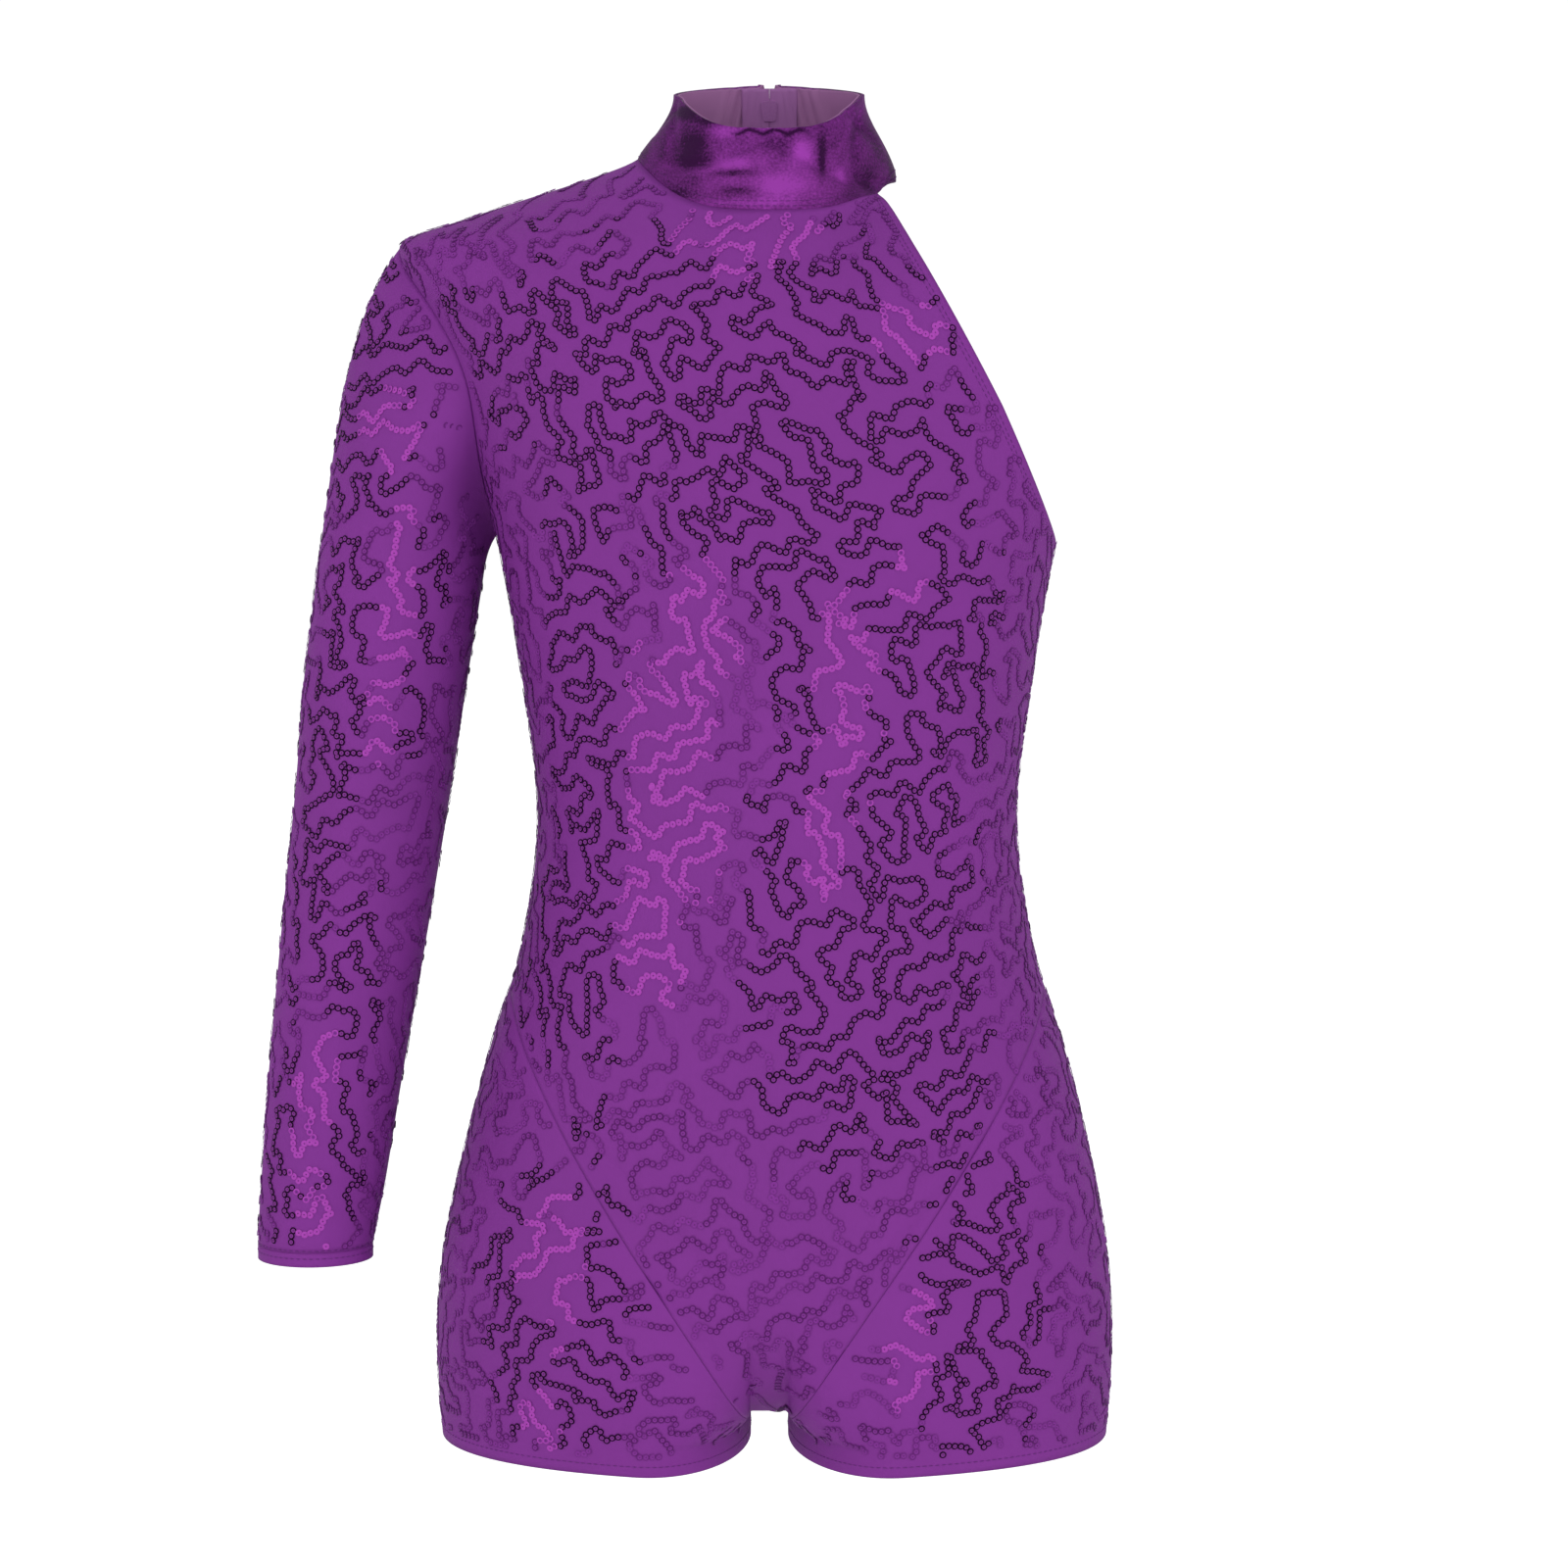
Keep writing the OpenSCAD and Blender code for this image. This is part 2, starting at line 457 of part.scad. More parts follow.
module pull_tab() {
    color(zip_purple) at_slider() translate([0, pin_y, 0]) difference() {
        union() {
            translate([-ear_in + 0.2, 0, 0]) rotate([0, 90, 0])
                cylinder(h = 2 * ear_in - 0.4, r = ear_r, $fn = 32);
            translate([-ear_in + 0.2, -tab_t / 2, -4]) cube([2 * ear_in - 0.4, tab_t, 4]);
            translate([0, tab_t / 2, 0]) rotate([90, 0, 0]) linear_extrude(tab_t) hull() {
                translate([-1.4, -3.6]) square([2.8, 0.4]);
                for (x = [-1, 1]) translate([x * 1.4, -tab_l + 1]) circle(1, $fn = 24);
                translate([-2, -8]) square([4, 1]);
            }
        }
        translate([-3, 0, 0]) rotate([0, 90, 0]) cylinder(h = 6, r = pin_r + 0.08, $fn = 24);
        translate([0, 0, -tab_l + 5]) rotate([90, 0, 0]) cylinder(h = 4, r = 1, center = true, $fn = 24);
    }
}

// A blank care label inside the left side of the back
module care_label() {
    color(elastic_white) cloth([for (i = [0:4]) [for (j = [0:3]) let (h = 300 + 6 * i, x = 88 - 6 * j)
        [x, back_y(x, h), h]]], 0.3, inner_1 + 1);
}

front_body();
back_left();
back_right();
sleeve();
leg_left();
leg_right();
collar_shell();
collar_lining();
collar_elastic();
armhole_binding();
armhole_elastic();
cuff_hem();
leg_hem_left();
leg_hem_right();
leg_elastic_left();
leg_elastic_right();
gusset_lining();
zip_tape_left();
zip_tape_right();
zip_coil_left();
zip_coil_right();
zip_top_stops();
zip_bottom_stop();
zip_slider();
pull_tab();
care_label();
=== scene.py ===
"""Gymnastics leotard with one sleeve: the sewn piece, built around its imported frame."""
import math
import bpy
import numpy as np
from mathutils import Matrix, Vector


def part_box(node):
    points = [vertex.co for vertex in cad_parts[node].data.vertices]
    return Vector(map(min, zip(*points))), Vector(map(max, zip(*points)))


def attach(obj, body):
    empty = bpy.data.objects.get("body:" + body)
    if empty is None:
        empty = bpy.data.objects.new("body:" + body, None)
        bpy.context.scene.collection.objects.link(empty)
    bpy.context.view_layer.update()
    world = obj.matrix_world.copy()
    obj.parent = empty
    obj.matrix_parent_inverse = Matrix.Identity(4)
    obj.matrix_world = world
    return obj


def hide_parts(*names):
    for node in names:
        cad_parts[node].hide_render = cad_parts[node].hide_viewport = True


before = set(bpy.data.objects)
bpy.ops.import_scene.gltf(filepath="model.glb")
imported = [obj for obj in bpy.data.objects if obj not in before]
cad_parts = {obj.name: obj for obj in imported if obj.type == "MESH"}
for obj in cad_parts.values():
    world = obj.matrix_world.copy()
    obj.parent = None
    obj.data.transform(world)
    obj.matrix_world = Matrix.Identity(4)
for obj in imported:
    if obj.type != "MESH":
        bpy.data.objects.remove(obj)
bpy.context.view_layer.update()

# ---- Studio ----
# The garment hangs from its neck in front of a pale floor and a white room. The camera stands
# 1.7 m in front at chest height, and large soft lamps stand before and beside the garment.
hem_low = -2.5
neck_h = hem_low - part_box("leg_left")[0].z * 1000
room_low = -1.15
camera_at = (0.0063, -1.70, -0.141)
camera_aim = (0.0063, 0.0, -0.292)
camera_covers = 0.672
lamp_aim = (0, 0, -0.3)
room_strength, room_seen = 0.60, 0.45
floor_seen, floor_tone, floor_rough = 0.6, 0.93, 0.9


def add(name, data):
    """A new object in the scene, around its mesh, lamp or camera."""
    piece = bpy.data.objects.new(name, data)
    bpy.context.scene.collection.objects.link(piece)
    return piece


def node(tree, kind, links=(), inputs=(), **values):
    """A shader node: its settings, its inputs' plain values, and links as (from socket, input)."""
    made = tree.nodes.new("ShaderNode" + kind)
    for key, value in values.items():
        setattr(made, key, value)
    for key, value in dict(inputs).items():
        made.inputs[key].default_value = value
    for source, target in links:
        tree.links.new(source, made.inputs[target])
    return made


def new_paint(name):
    """A new material, with its nodes and its shader."""
    paint = bpy.data.materials.new(name)
    paint.use_nodes = True
    return paint, paint.node_tree, paint.node_tree.nodes["Principled BSDF"]


def soft_lamp(name, place, size, power):
    """A square area lamp at place, turned so that its -Z axis points at lamp_aim."""
    lamp = bpy.data.lights.new(name, "AREA")
    lamp.size = size
    lamp.energy = power
    piece = add(name, lamp)
    away = np.array(place) - np.array(lamp_aim)
    piece.location = place
    piece.rotation_euler = (math.atan2(math.hypot(away[0], away[1]), away[2]), 0,
                            math.atan2(away[0], -away[1]))


def brighter_seen(tree, strength, base, more):
    """The strength of a glow: base, and more on top of it where the camera looks straight at it."""
    level = node(tree, "Math", [(node(tree, "LightPath").outputs["Is Camera Ray"], 0)],
                 {1: more, 2: base}, operation="MULTIPLY_ADD")
    tree.links.new(level.outputs["Value"], strength)


camera = add("camera", bpy.data.cameras.new("camera"))
camera.location = camera_at
reach = math.dist(camera_at, camera_aim)
dip = math.asin((camera_at[2] - camera_aim[2]) / reach)
camera.rotation_euler = (math.pi / 2 - dip, 0, 0)
camera.data.angle = 2 * math.atan(camera_covers / 2 / reach)
bpy.context.scene.camera = camera
bpy.context.scene.view_settings.view_transform = "Standard"

soft_lamp("lamp_front", (-0.5, -2.3, 0.6), 1.6, 15)
soft_lamp("lamp_left", (-1.9, -0.9, 0.2), 1.2, 5)
soft_lamp("lamp_right", (1.6, -1.7, 0.0), 1.0, 10)

room = bpy.data.worlds.new("room")
bpy.context.scene.world = room
room.use_nodes = True
glow = room.node_tree.nodes["Background"]
glow.inputs["Color"].default_value = (1, 1, 1, 1)
brighter_seen(room.node_tree, glow.inputs["Strength"], room_strength, room_seen)

floor_mesh = bpy.data.meshes.new("floor")
floor_mesh.from_pydata([(-9, -6, room_low), (9, -6, room_low), (9, 12, room_low), (-9, 12, room_low)],
                       [], [(0, 1, 2, 3)])
floor_paint, tree, shader = new_paint("floor_paint")
shader.inputs["Base Color"].default_value = (floor_tone, floor_tone, floor_tone, 1)
shader.inputs["Roughness"].default_value = floor_rough
shader.inputs["Emission Color"].default_value = (1, 1, 1, 1)
brighter_seen(tree, shader.inputs["Emission Strength"], 0.0, floor_seen)
floor_mesh.materials.append(floor_paint)
add("floor", floor_mesh)

# ---- Front panel ----
# The panel from the shoulders down to the crotch, cut from sequinned stretch knit and sewn to
# the sleeve, the collar, the backs and the legs. Heights h are millimetres above the hems.
WIDTHS = [(-4, 143), (30, 145), (60, 144.5), (90, 141), (132, 132), (172, 121.5), (210, 109.5),
          (265, 102), (320, 107.5), (385, 118.5), (443, 134), (479, 146), (503, 156), (510, 153.5),
          (518, 132), (527, 108), (535, 85.5), (543, 66), (552, 56), (575, 50)]
FRONTS = [(-4, 84), (40, 90), (90, 92), (140, 90), (200, 86), (265, 80), (320, 83), (385, 90),
          (430, 91), (470, 84), (500, 70), (520, 56), (540, 44), (560, 40)]
BACKS = [(-4, 92), (40, 98), (90, 106), (120, 105), (160, 97), (200, 86), (235, 78.5), (262, 76.5)]
cloth_t = 1.2
seam_gap = 0.15
trunk_shift, trunk_from, trunk_over = 3.4, 440, 80
hip_shift, hip_from, hip_over = 1.2, 40, 120
trunk_y, lean_from, lean_over = -5, 400, 140
slice_n = 2.5
crotch_h = 10
leg_line_h = 195
leg_gap = 8
line_bend = 0.8
pinch = 48
pinch_h = 70
underarm_h = 386
shoulder_h = 507
tip_v = 22 / 26
bare_h = 382
bare_top_x = 49
bare_bow = 1.5
neck_half = 55.5
neck_deep = 56
neck_h_low = 520
neck_h_back = 541
neck_h_side = (544, 540)
zip_arc_r = 510
zip_arc_h = 380
zip_arc_y = -427
arc_low, arc_from, arc_over = 250, 255, 40
zip_flat = 14
zip_slot = 5
neck_curve = 3.2
armscye_dip, armscye_skew = 19.5, 1.2
crotch_share, crotch_share_back = 0.08, 0.1
crease_bow = 0.06


def clamp(t):
    return np.clip(t, 0.0, 1.0)


def mix(a, b, t):
    """a + (b - a) t."""
    return a + (b - a) * t


def smooth(t):
    """3t^2 - 2t^3, held at 0 and 1 outside that range."""
    c = clamp(t)
    return c * c * (3 - 2 * c)


def sine(a):
    return np.sin(np.radians(a))


def cosine(a):
    return np.cos(np.radians(a))


def hermite(t, a, b, w, leave, arrive):
    """A cubic from a to b over the width w: the slope at a is leave, and the slope at b is arrive."""
    return ((2 * t**3 - 3 * t**2 + 1) * a + (t**3 - 2 * t**2 + t) * w * leave
            + (3 * t**2 - 2 * t**3) * b + (t**3 - t**2) * w * arrive)


def unit(v):
    """Vectors brought to a length of 1."""
    return v / np.maximum(np.linalg.norm(v, axis=-1, keepdims=True), 1e-9)


def spline(stations, h, column=1):
    """A cubic curve through stations; each slope is the chord between the neighbours."""
    s = np.asarray(stations, float)
    last = len(s) - 1
    g = np.clip(h, s[0, 0], s[-1, 0])
    i = np.clip(np.searchsorted(s[:, 0], g, side="right") - 1, 0, last - 1)
    low = np.maximum(np.arange(last + 1) - 1, 0)
    high = np.minimum(np.arange(last + 1) + 1, last)
    slope = (s[high, column] - s[low, column]) / (s[high, 0] - s[low, 0])
    w = s[i + 1, 0] - s[i, 0]
    t = (g - s[i, 0]) / w
    return hermite(t, s[i, column], s[i + 1, column], w, slope[i], slope[i + 1])


def width(h):
    return spline(WIDTHS, h)


def shift(h):
    """How far the trunk's middle lies to the left: one shift fades out at the chest, one at the hips."""
    return (trunk_shift * (1 - smooth((h - trunk_from) / trunk_over))
            - hip_shift * (1 - smooth((h - hip_from) / hip_over)))


def mid_y(h):
    return trunk_y * (1 - smooth((h - lean_from) / lean_over))


def zip_y(h):
    """Depth of the zip's arc: its centre plus the root of radius^2 - (h - centre height)^2."""
    return zip_arc_y + np.sqrt(zip_arc_r**2 - (h - zip_arc_h)**2)


def back_depth(h):
    """The stations' depth at the hips, and the zip's arc above them."""
    arc = zip_y(np.maximum(h, arc_low)) - mid_y(h)
    return mix(spline(BACKS, h), arc, smooth((h - arc_from) / arc_over))


def slice_of(t):
    """A rounded rectangle's depth, (1 - t^n)^(1/n), at the fraction t of its half width."""
    return (1 - np.minimum(t, 1)**slice_n)**(1 / slice_n)


def crotch(x, h):
    """The pinch between the thighs: a quarter circle across, fading by a quarter circle upwards."""
    q = clamp((h - crotch_h) / pinch_h)
    fade = 1 - np.sqrt(np.maximum(1 - (1 - q)**2, 0))
    t = clamp((np.abs(x) - leg_gap) / pinch)
    return 1 - fade * (1 - np.sqrt(np.maximum(1 - (1 - t)**2, 0)))


def front_y(x, h):
    return mid_y(h) - spline(FRONTS, h) * slice_of(np.abs(x - shift(h)) / width(h)) * crotch(x, h)


def back_y(x, h):
    w = width(h)
    t = np.maximum(np.abs(x - shift(h)) - zip_flat, 0) / (w - zip_flat)
    return mid_y(h) + back_depth(h) * slice_of(t) * crotch(x, h)


def angle_at(x, h):
    return np.degrees(np.arcsin(np.clip((x - shift(h)) / width(h), -1, 1)))


def front(a, h):
    """Front of the trunk at the angle a: x goes with its sine, y with the slice at that x."""
    x = shift(h) + width(h) * sine(a)
    return np.stack([x, front_y(x, h) - seam_gap / 2, h], -1)


def back(a, h):
    x = shift(h) + width(h) * sine(a)
    return np.stack([x, back_y(x, h) + seam_gap / 2, h], -1)


def outer_x(sg, h):
    return shift(h) + sg * width(h)


def leg_x(sg, m, h):
    return mix(sg * leg_gap, outer_x(sg, h), m)


def line_h(m):
    return mix(crotch_h, leg_line_h, m**line_bend)


def ease(a):
    """Half a cosine wave, from 0 at 0 to 1 at 1."""
    return (1 - cosine(180 * a)) / 2


def ring_flat(q, w):
    """The back of a ring: flat across the zip, then a quarter ellipse."""
    t = np.maximum(w * np.abs(sine(q)) - zip_flat, 0) / (w - zip_flat)
    return np.sqrt(np.maximum(1 - t * t, 0))


def ring_h(q, low, side, high):
    """Height round the neck: rises from the front by |sin q|^neck_curve, then to the back by |cos q|."""
    return np.where(np.abs(q) <= 90, mix(low, side, np.abs(sine(q))**neck_curve),
                    mix(side, high, np.abs(cosine(q))))


def neck_seam(q):
    """The collar seam at the angle q from the front: an ellipse in front, flat at the zip."""
    side = np.where(q < 0, neck_h_side[0], neck_h_side[1])
    h = ring_h(q, neck_h_low, side, neck_h_back)
    y = np.where(np.abs(q) <= 90, -neck_deep * cosine(q), zip_y(neck_h_back) * ring_flat(q, neck_half))
    return np.stack([neck_half * sine(q), y, h], -1)


def armscye(q):
    """The sleeve seam in angle and height: it dips towards the chest by sin(180 q^armscye_skew)."""
    return 90 - armscye_dip * sine(180 * q**armscye_skew), mix(underarm_h, shoulder_h, q)


def sleeve_side(v):
    """Side seam to v = 0.5, armscye to the shoulder tip, then the shoulder ridge."""
    arm_a, arm_h = armscye(clamp((v - 0.5) / (tip_v - 0.5)))
    a = np.where((v >= 0.5) & (v < tip_v), arm_a, 90.0)
    h = np.where(v < 0.5, mix(leg_line_h, underarm_h, v * 2),
                 np.where(v < tip_v, arm_h, mix(shoulder_h, neck_h_side[0], (v - tip_v) / (1 - tip_v))))
    return a, h


bare_q = math.degrees(math.asin(bare_top_x / neck_half))


def bare_side(sg, v):
    """Side seam to v = 0.5, then the bare armhole's slanting edge, bowed out by a half sine."""
    top = float(neck_seam(np.array(bare_q if sg < 0 else 180 - bare_q))[2])
    q = clamp((v - 0.5) * 2)
    edge_h = mix(bare_h, top, q)
    x = mix(outer_x(1, bare_h), bare_top_x, q) + bare_bow * sine(180 * q)
    a = np.where(v < 0.5, 90.0, angle_at(x, edge_h))
    return a, np.where(v < 0.5, mix(leg_line_h, bare_h, v * 2), edge_h)


def coons(s, v, bottom, top, left, right, corners):
    """A Coons patch: the two ruled surfaces between the edges, less the one between the corners.
    s is the share of the way across, already eased so that columns gather towards the side seams."""
    c00, c10, c01, c11 = corners
    return (bottom * (1 - v) + top * v + left * (1 - s) + right * s
            - c00 * (1 - s) * (1 - v) - c10 * s * (1 - v) - c01 * (1 - s) * v - c11 * s * v)


shoulder_lead = float(angle_at(-neck_half, neck_h_side[0])) + 90


def front_point(s, v):
    """The panel in angle and height, a Coons patch, laid on the trunk and settled on the collar seam."""
    q = mix(-90, bare_q, s)
    edge = neck_seam(q)
    top_a = angle_at(edge[..., 0], edge[..., 2]) - shoulder_lead * (1 - s)**3
    g = 2 * s - 1
    sg = np.where(g < 0, -1, 1)
    m = ease(np.maximum(np.abs(g) - crotch_share, 0) / (1 - crotch_share))
    low_h = line_h(m)
    low_x = np.where(np.abs(g) < crotch_share, leg_gap * g / crotch_share, leg_x(sg, m, low_h))
    left_a, left_h = sleeve_side(v)
    right_a, right_h = bare_side(-1, v)
    end_a, end_h = sleeve_side(np.array([0.0, 1.0]))
    far_a, far_h = bare_side(-1, np.array([0.0, 1.0]))
    across = ease(s)
    f = coons(across, v, sine(angle_at(low_x, low_h)), sine(top_a), -sine(left_a), sine(right_a),
              (-sine(end_a[0]), sine(far_a[0]), -sine(end_a[1]), sine(far_a[1])))
    h = coons(across, v, low_h + seam_gap, edge[..., 2], left_h, right_h,
              (end_h[0], far_h[0], end_h[1], far_h[1]))
    p = front(np.degrees(np.arcsin(np.clip(f, -1, 1))), h)
    drift = edge - np.array([0, seam_gap / 2, 0]) - front(top_a, edge[..., 2])
    return p + drift * smooth((v - tip_v) / (1 - tip_v))[..., None]


def creases(p, folds):
    """Depth of soft creases: each is a ridge exp(-(d / w)^2) across a line from a to b in x and h,
    bowed to one side by crease_bow of its length."""
    depth = np.zeros(p.shape[:2])
    for ax, ah, bx, bh, w, high in folds:
        along = np.array([bx - ax, bh - ah], float)
        size = np.linalg.norm(along)
        rel = p[..., [0, 2]] - np.array([ax, ah])
        t = rel @ along / size**2
        d = (rel[..., 0] * along[1] - rel[..., 1] * along[0]) / size
        bend = d - crease_bow * size * 4 * t * (1 - t)
        depth += high * np.exp(-(bend / w)**2) * smooth(t * 5) * smooth((1 - t) * 3)
    return depth


def grid_of(rows, cols):
    """Parameters s and v over a grid of cloth, v down the rows and s along the columns."""
    return np.meshgrid(np.linspace(0, 1, cols), np.linspace(0, 1, rows))


def outward(grid):
    """Unit normals of a grid: the step along its columns crossed with the step up its rows."""
    return unit(np.cross(np.gradient(grid, axis=1), np.gradient(grid, axis=0)))


def flatten(grid, middle, tall=False):
    """The flat pattern of a grid. V is the height, or for a tall grid the lowest row's height plus the
    length up each column. U is the length along each row, less its rise, from the middle column."""
    up = np.linalg.norm(np.diff(grid, axis=0), axis=2).cumsum(0)
    v = grid[..., 2] if not tall else grid[:1, :, 2] + np.vstack([0 * up[:1], up])
    step = np.linalg.norm(np.diff(grid, axis=1), axis=2)
    rise = np.diff(v, axis=1)
    level = np.sqrt(np.maximum(step**2 - rise**2, (0.15 * step)**2)).cumsum(1)
    u = np.hstack([0 * level[:, :1], level])
    return np.stack([u - u[:, middle:middle + 1], v], -1)


def unpinched(grid, way, deep):
    """The grid with the crotch's pinch let out, so that its flat pattern isn't sheared there."""
    x, h = grid[..., 0], grid[..., 2]
    flat_half = zip_flat if way > 0 else 0
    t = np.maximum(np.abs(x - shift(h)) - flat_half, 0) / (width(h) - flat_half)
    return np.stack([x, mid_y(h) + way * deep * slice_of(t), h], -1)


# How far the bare side leans in towards the neck, as pairs of height and millimetres
TUCK = [(440, 0), (468, 1.6), (489, 2.8), (506, 3.6), (523, 4.0), (529, 3.8), (534, 4.0), (537, 5.2),
        (538.5, 4.6), (540, 1.8), (543, 0.8), (549, 0.6), (560, 0)]
tuck_from, tuck_over = 22, 30
drop_by, drop_h, drop_wide = 6, 537, 9


def placed(points):
    """Millimetres above the hems, in the frame's metres. The bare side is tucked in by TUCK, and the
    collar's corner there hangs lower, by drop_by exp(-((h - drop_h) / drop_wide)^2)."""
    side = smooth((points[..., 0] - tuck_from) / tuck_over)
    far = side * np.interp(points[..., 2], *zip(*TUCK))
    drop = side * drop_by * np.exp(-((points[..., 2] - drop_h) / drop_wide)**2)
    return (points - np.stack([far, 0 * far, neck_h + drop], -1)) / 1000


def solid(name, points, faces, paint, rounded=True):
    """A new piece from points in millimetres and faces, shaded smooth if it is rounded."""
    mesh = bpy.data.meshes.new(name)
    mesh.from_pydata(placed(points), [], faces)
    if rounded:
        mesh.polygons.foreach_set("use_smooth", np.ones(len(faces), bool))
    mesh.materials.append(paint)
    return add(name, mesh)


def cells(index):
    """The four corners of every cell of a grid of point numbers."""
    return np.stack([index[:-1, :-1], index[:-1, 1:], index[1:, 1:], index[1:, :-1]], -1).reshape(-1, 4)


def sew(name, grid, flat, thickness, paint, ring=False):
    """A cloth piece: quads over the grid, faced outwards, UV in metres of the flat pattern, and a
    Solidify that gives the cloth its thickness inwards."""
    rows, cols = grid.shape[:2]
    index = np.arange(rows * cols).reshape(rows, cols)
    corners = cells(index)
    quads = cells(np.hstack([index[:, :-1], index[:, :1]])) if ring else corners
    used = np.unique(quads)
    renumber = np.zeros(rows * cols, int)
    renumber[used] = np.arange(len(used))
    piece = solid(name, grid.reshape(-1, 3)[used], renumber[quads].tolist(), paint)
    uv = piece.data.uv_layers.new(name="pattern")
    uv.data.foreach_set("uv", (flat.reshape(-1, 2)[corners] / 1000).ravel())
    wall = piece.modifiers.new("thickness", "SOLIDIFY")
    wall.thickness = thickness / 1000
    wall.offset = -1
    return piece


def fix(piece, node):
    """The piece rides on the garment and stands for its CAD node, which is hidden."""
    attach(piece, "garment")
    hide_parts(node)
    return piece


def ranged(tree, value, low, high):
    """A value from 0 to 1, mapped to run from low to high."""
    return node(tree, "MapRange", [(value, "Value")], {"To Min": low, "To Max": high}).outputs["Result"]


def speckle(tree, scale, detail):
    """Noise in the piece's own coordinates, with features 1 / scale metres across."""
    at = node(tree, "TexCoord").outputs["Object"]
    return node(tree, "TexNoise", [(at, "Vector")], dict(Scale=scale, Detail=detail)).outputs["Fac"]


# Stretch knit: fine wales across the pattern's U, courses along its V, and a broad change of tone.
knit = bpy.data.node_groups.new("knit", "ShaderNodeTree")
for name, way, sort in (("Colour", "INPUT", "Color"), ("Wale", "INPUT", "Float"),
                        ("Colour", "OUTPUT", "Color"), ("Height", "OUTPUT", "Float"),
                        ("Roughness", "OUTPUT", "Float")):
    knit.interface.new_socket(name=name, in_out=way, socket_type="NodeSocket" + sort)
inside = knit.nodes.new("NodeGroupInput")
result = knit.nodes.new("NodeGroupOutput")
pattern = node(knit, "TexCoord").outputs["UV"]
rib, course = (node(knit, "TexWave", [(pattern, "Vector"), (inside.outputs["Wale"], "Scale")],
                    wave_type="BANDS", bands_direction=way).outputs["Fac"] for way in "XY")
stitch = node(knit, "Math", [(rib, 0), (course, 1)], operation="MULTIPLY").outputs["Value"]
cloud = speckle(knit, 16.0, 3.0)
both = node(knit, "Math", [(ranged(knit, cloud, 0.90, 1.10), 0), (ranged(knit, stitch, 0.93, 1.05), 1)],
            operation="MULTIPLY")
dyed = node(knit, "VectorMath", [(inside.outputs["Colour"], 0), (both.outputs["Value"], "Scale")],
            operation="SCALE")
for value, name in ((dyed.outputs["Vector"], "Colour"), (stitch, "Height"),
                    (ranged(knit, cloud, 0.55, 0.75), "Roughness")):
    knit.links.new(value, result.inputs[name])


def cloth_paint(name, colour, wale=2200.0, bump=0.00004, specular=0.15, metallic=0.0):
    """A knit in one dye: the knit group gives colour, roughness and the stitches' height."""
    paint, tree, shader = new_paint(name)
    group = node(tree, "Group", inputs=dict(Colour=(*colour, 1), Wale=wale), node_tree=knit)
    relief = node(tree, "Bump", [(group.outputs["Height"], "Height")], dict(Distance=bump))
    tree.links.new(group.outputs["Colour"], shader.inputs["Base Color"])
    tree.links.new(group.outputs["Roughness"], shader.inputs["Roughness"])
    tree.links.new(relief.outputs["Normal"], shader.inputs["Normal"])
    shader.inputs["Specular IOR Level"].default_value = specular
    shader.inputs["Metallic"].default_value = metallic
    return paint


panels = {}


def panel(name, node_name, grid, flat, ring=False):
    """A panel of the sequinned knit, kept in panels for its sequins."""
    panels[name] = grid, flat
    fix(sew(name, grid, flat, cloth_t, purple_knit, ring=ring), node_name)


purple_knit = cloth_paint("purple_knit", (0.240, 0.036, 0.316))
panel_rows, panel_cols = 180, 130
# Creases at the groin, as x and height of both ends, half width and height in millimetres
GROIN = [(-8, 60, -92, 152, 2.4, 1.0), (10, 62, 98, 158, 2.4, 1.0), (-16, 44, -70, 96, 2.0, 0.8),
         (20, 44, 76, 98, 2.0, 0.8), (-30, 92, -88, 170, 3.0, 0.7), (34, 96, 92, 176, 3.0, 0.7)]
s, v = grid_of(panel_rows, panel_cols)
front_grid = front_point(s, v)
front_grid = front_grid - outward(front_grid) * creases(front_grid, GROIN)[..., None]
front_flat = flatten(unpinched(front_grid, -1, spline(FRONTS, front_grid[..., 2])), panel_cols // 2)
panel("front_panel", "front_body", front_grid, front_flat)

# ---- Back panels ----
# Two halves of the same knit, sewn together from the crotch up to the zip's lower end and then
# to the two zip tapes, with the fabric edges 5 mm either side of the chain.
zip_low_h = 305
slot_below, slot_over = 14, 8


def centre_x(sg, h):
    return sg * mix(seam_gap, zip_slot, smooth((h - zip_low_h + slot_below) / slot_over))


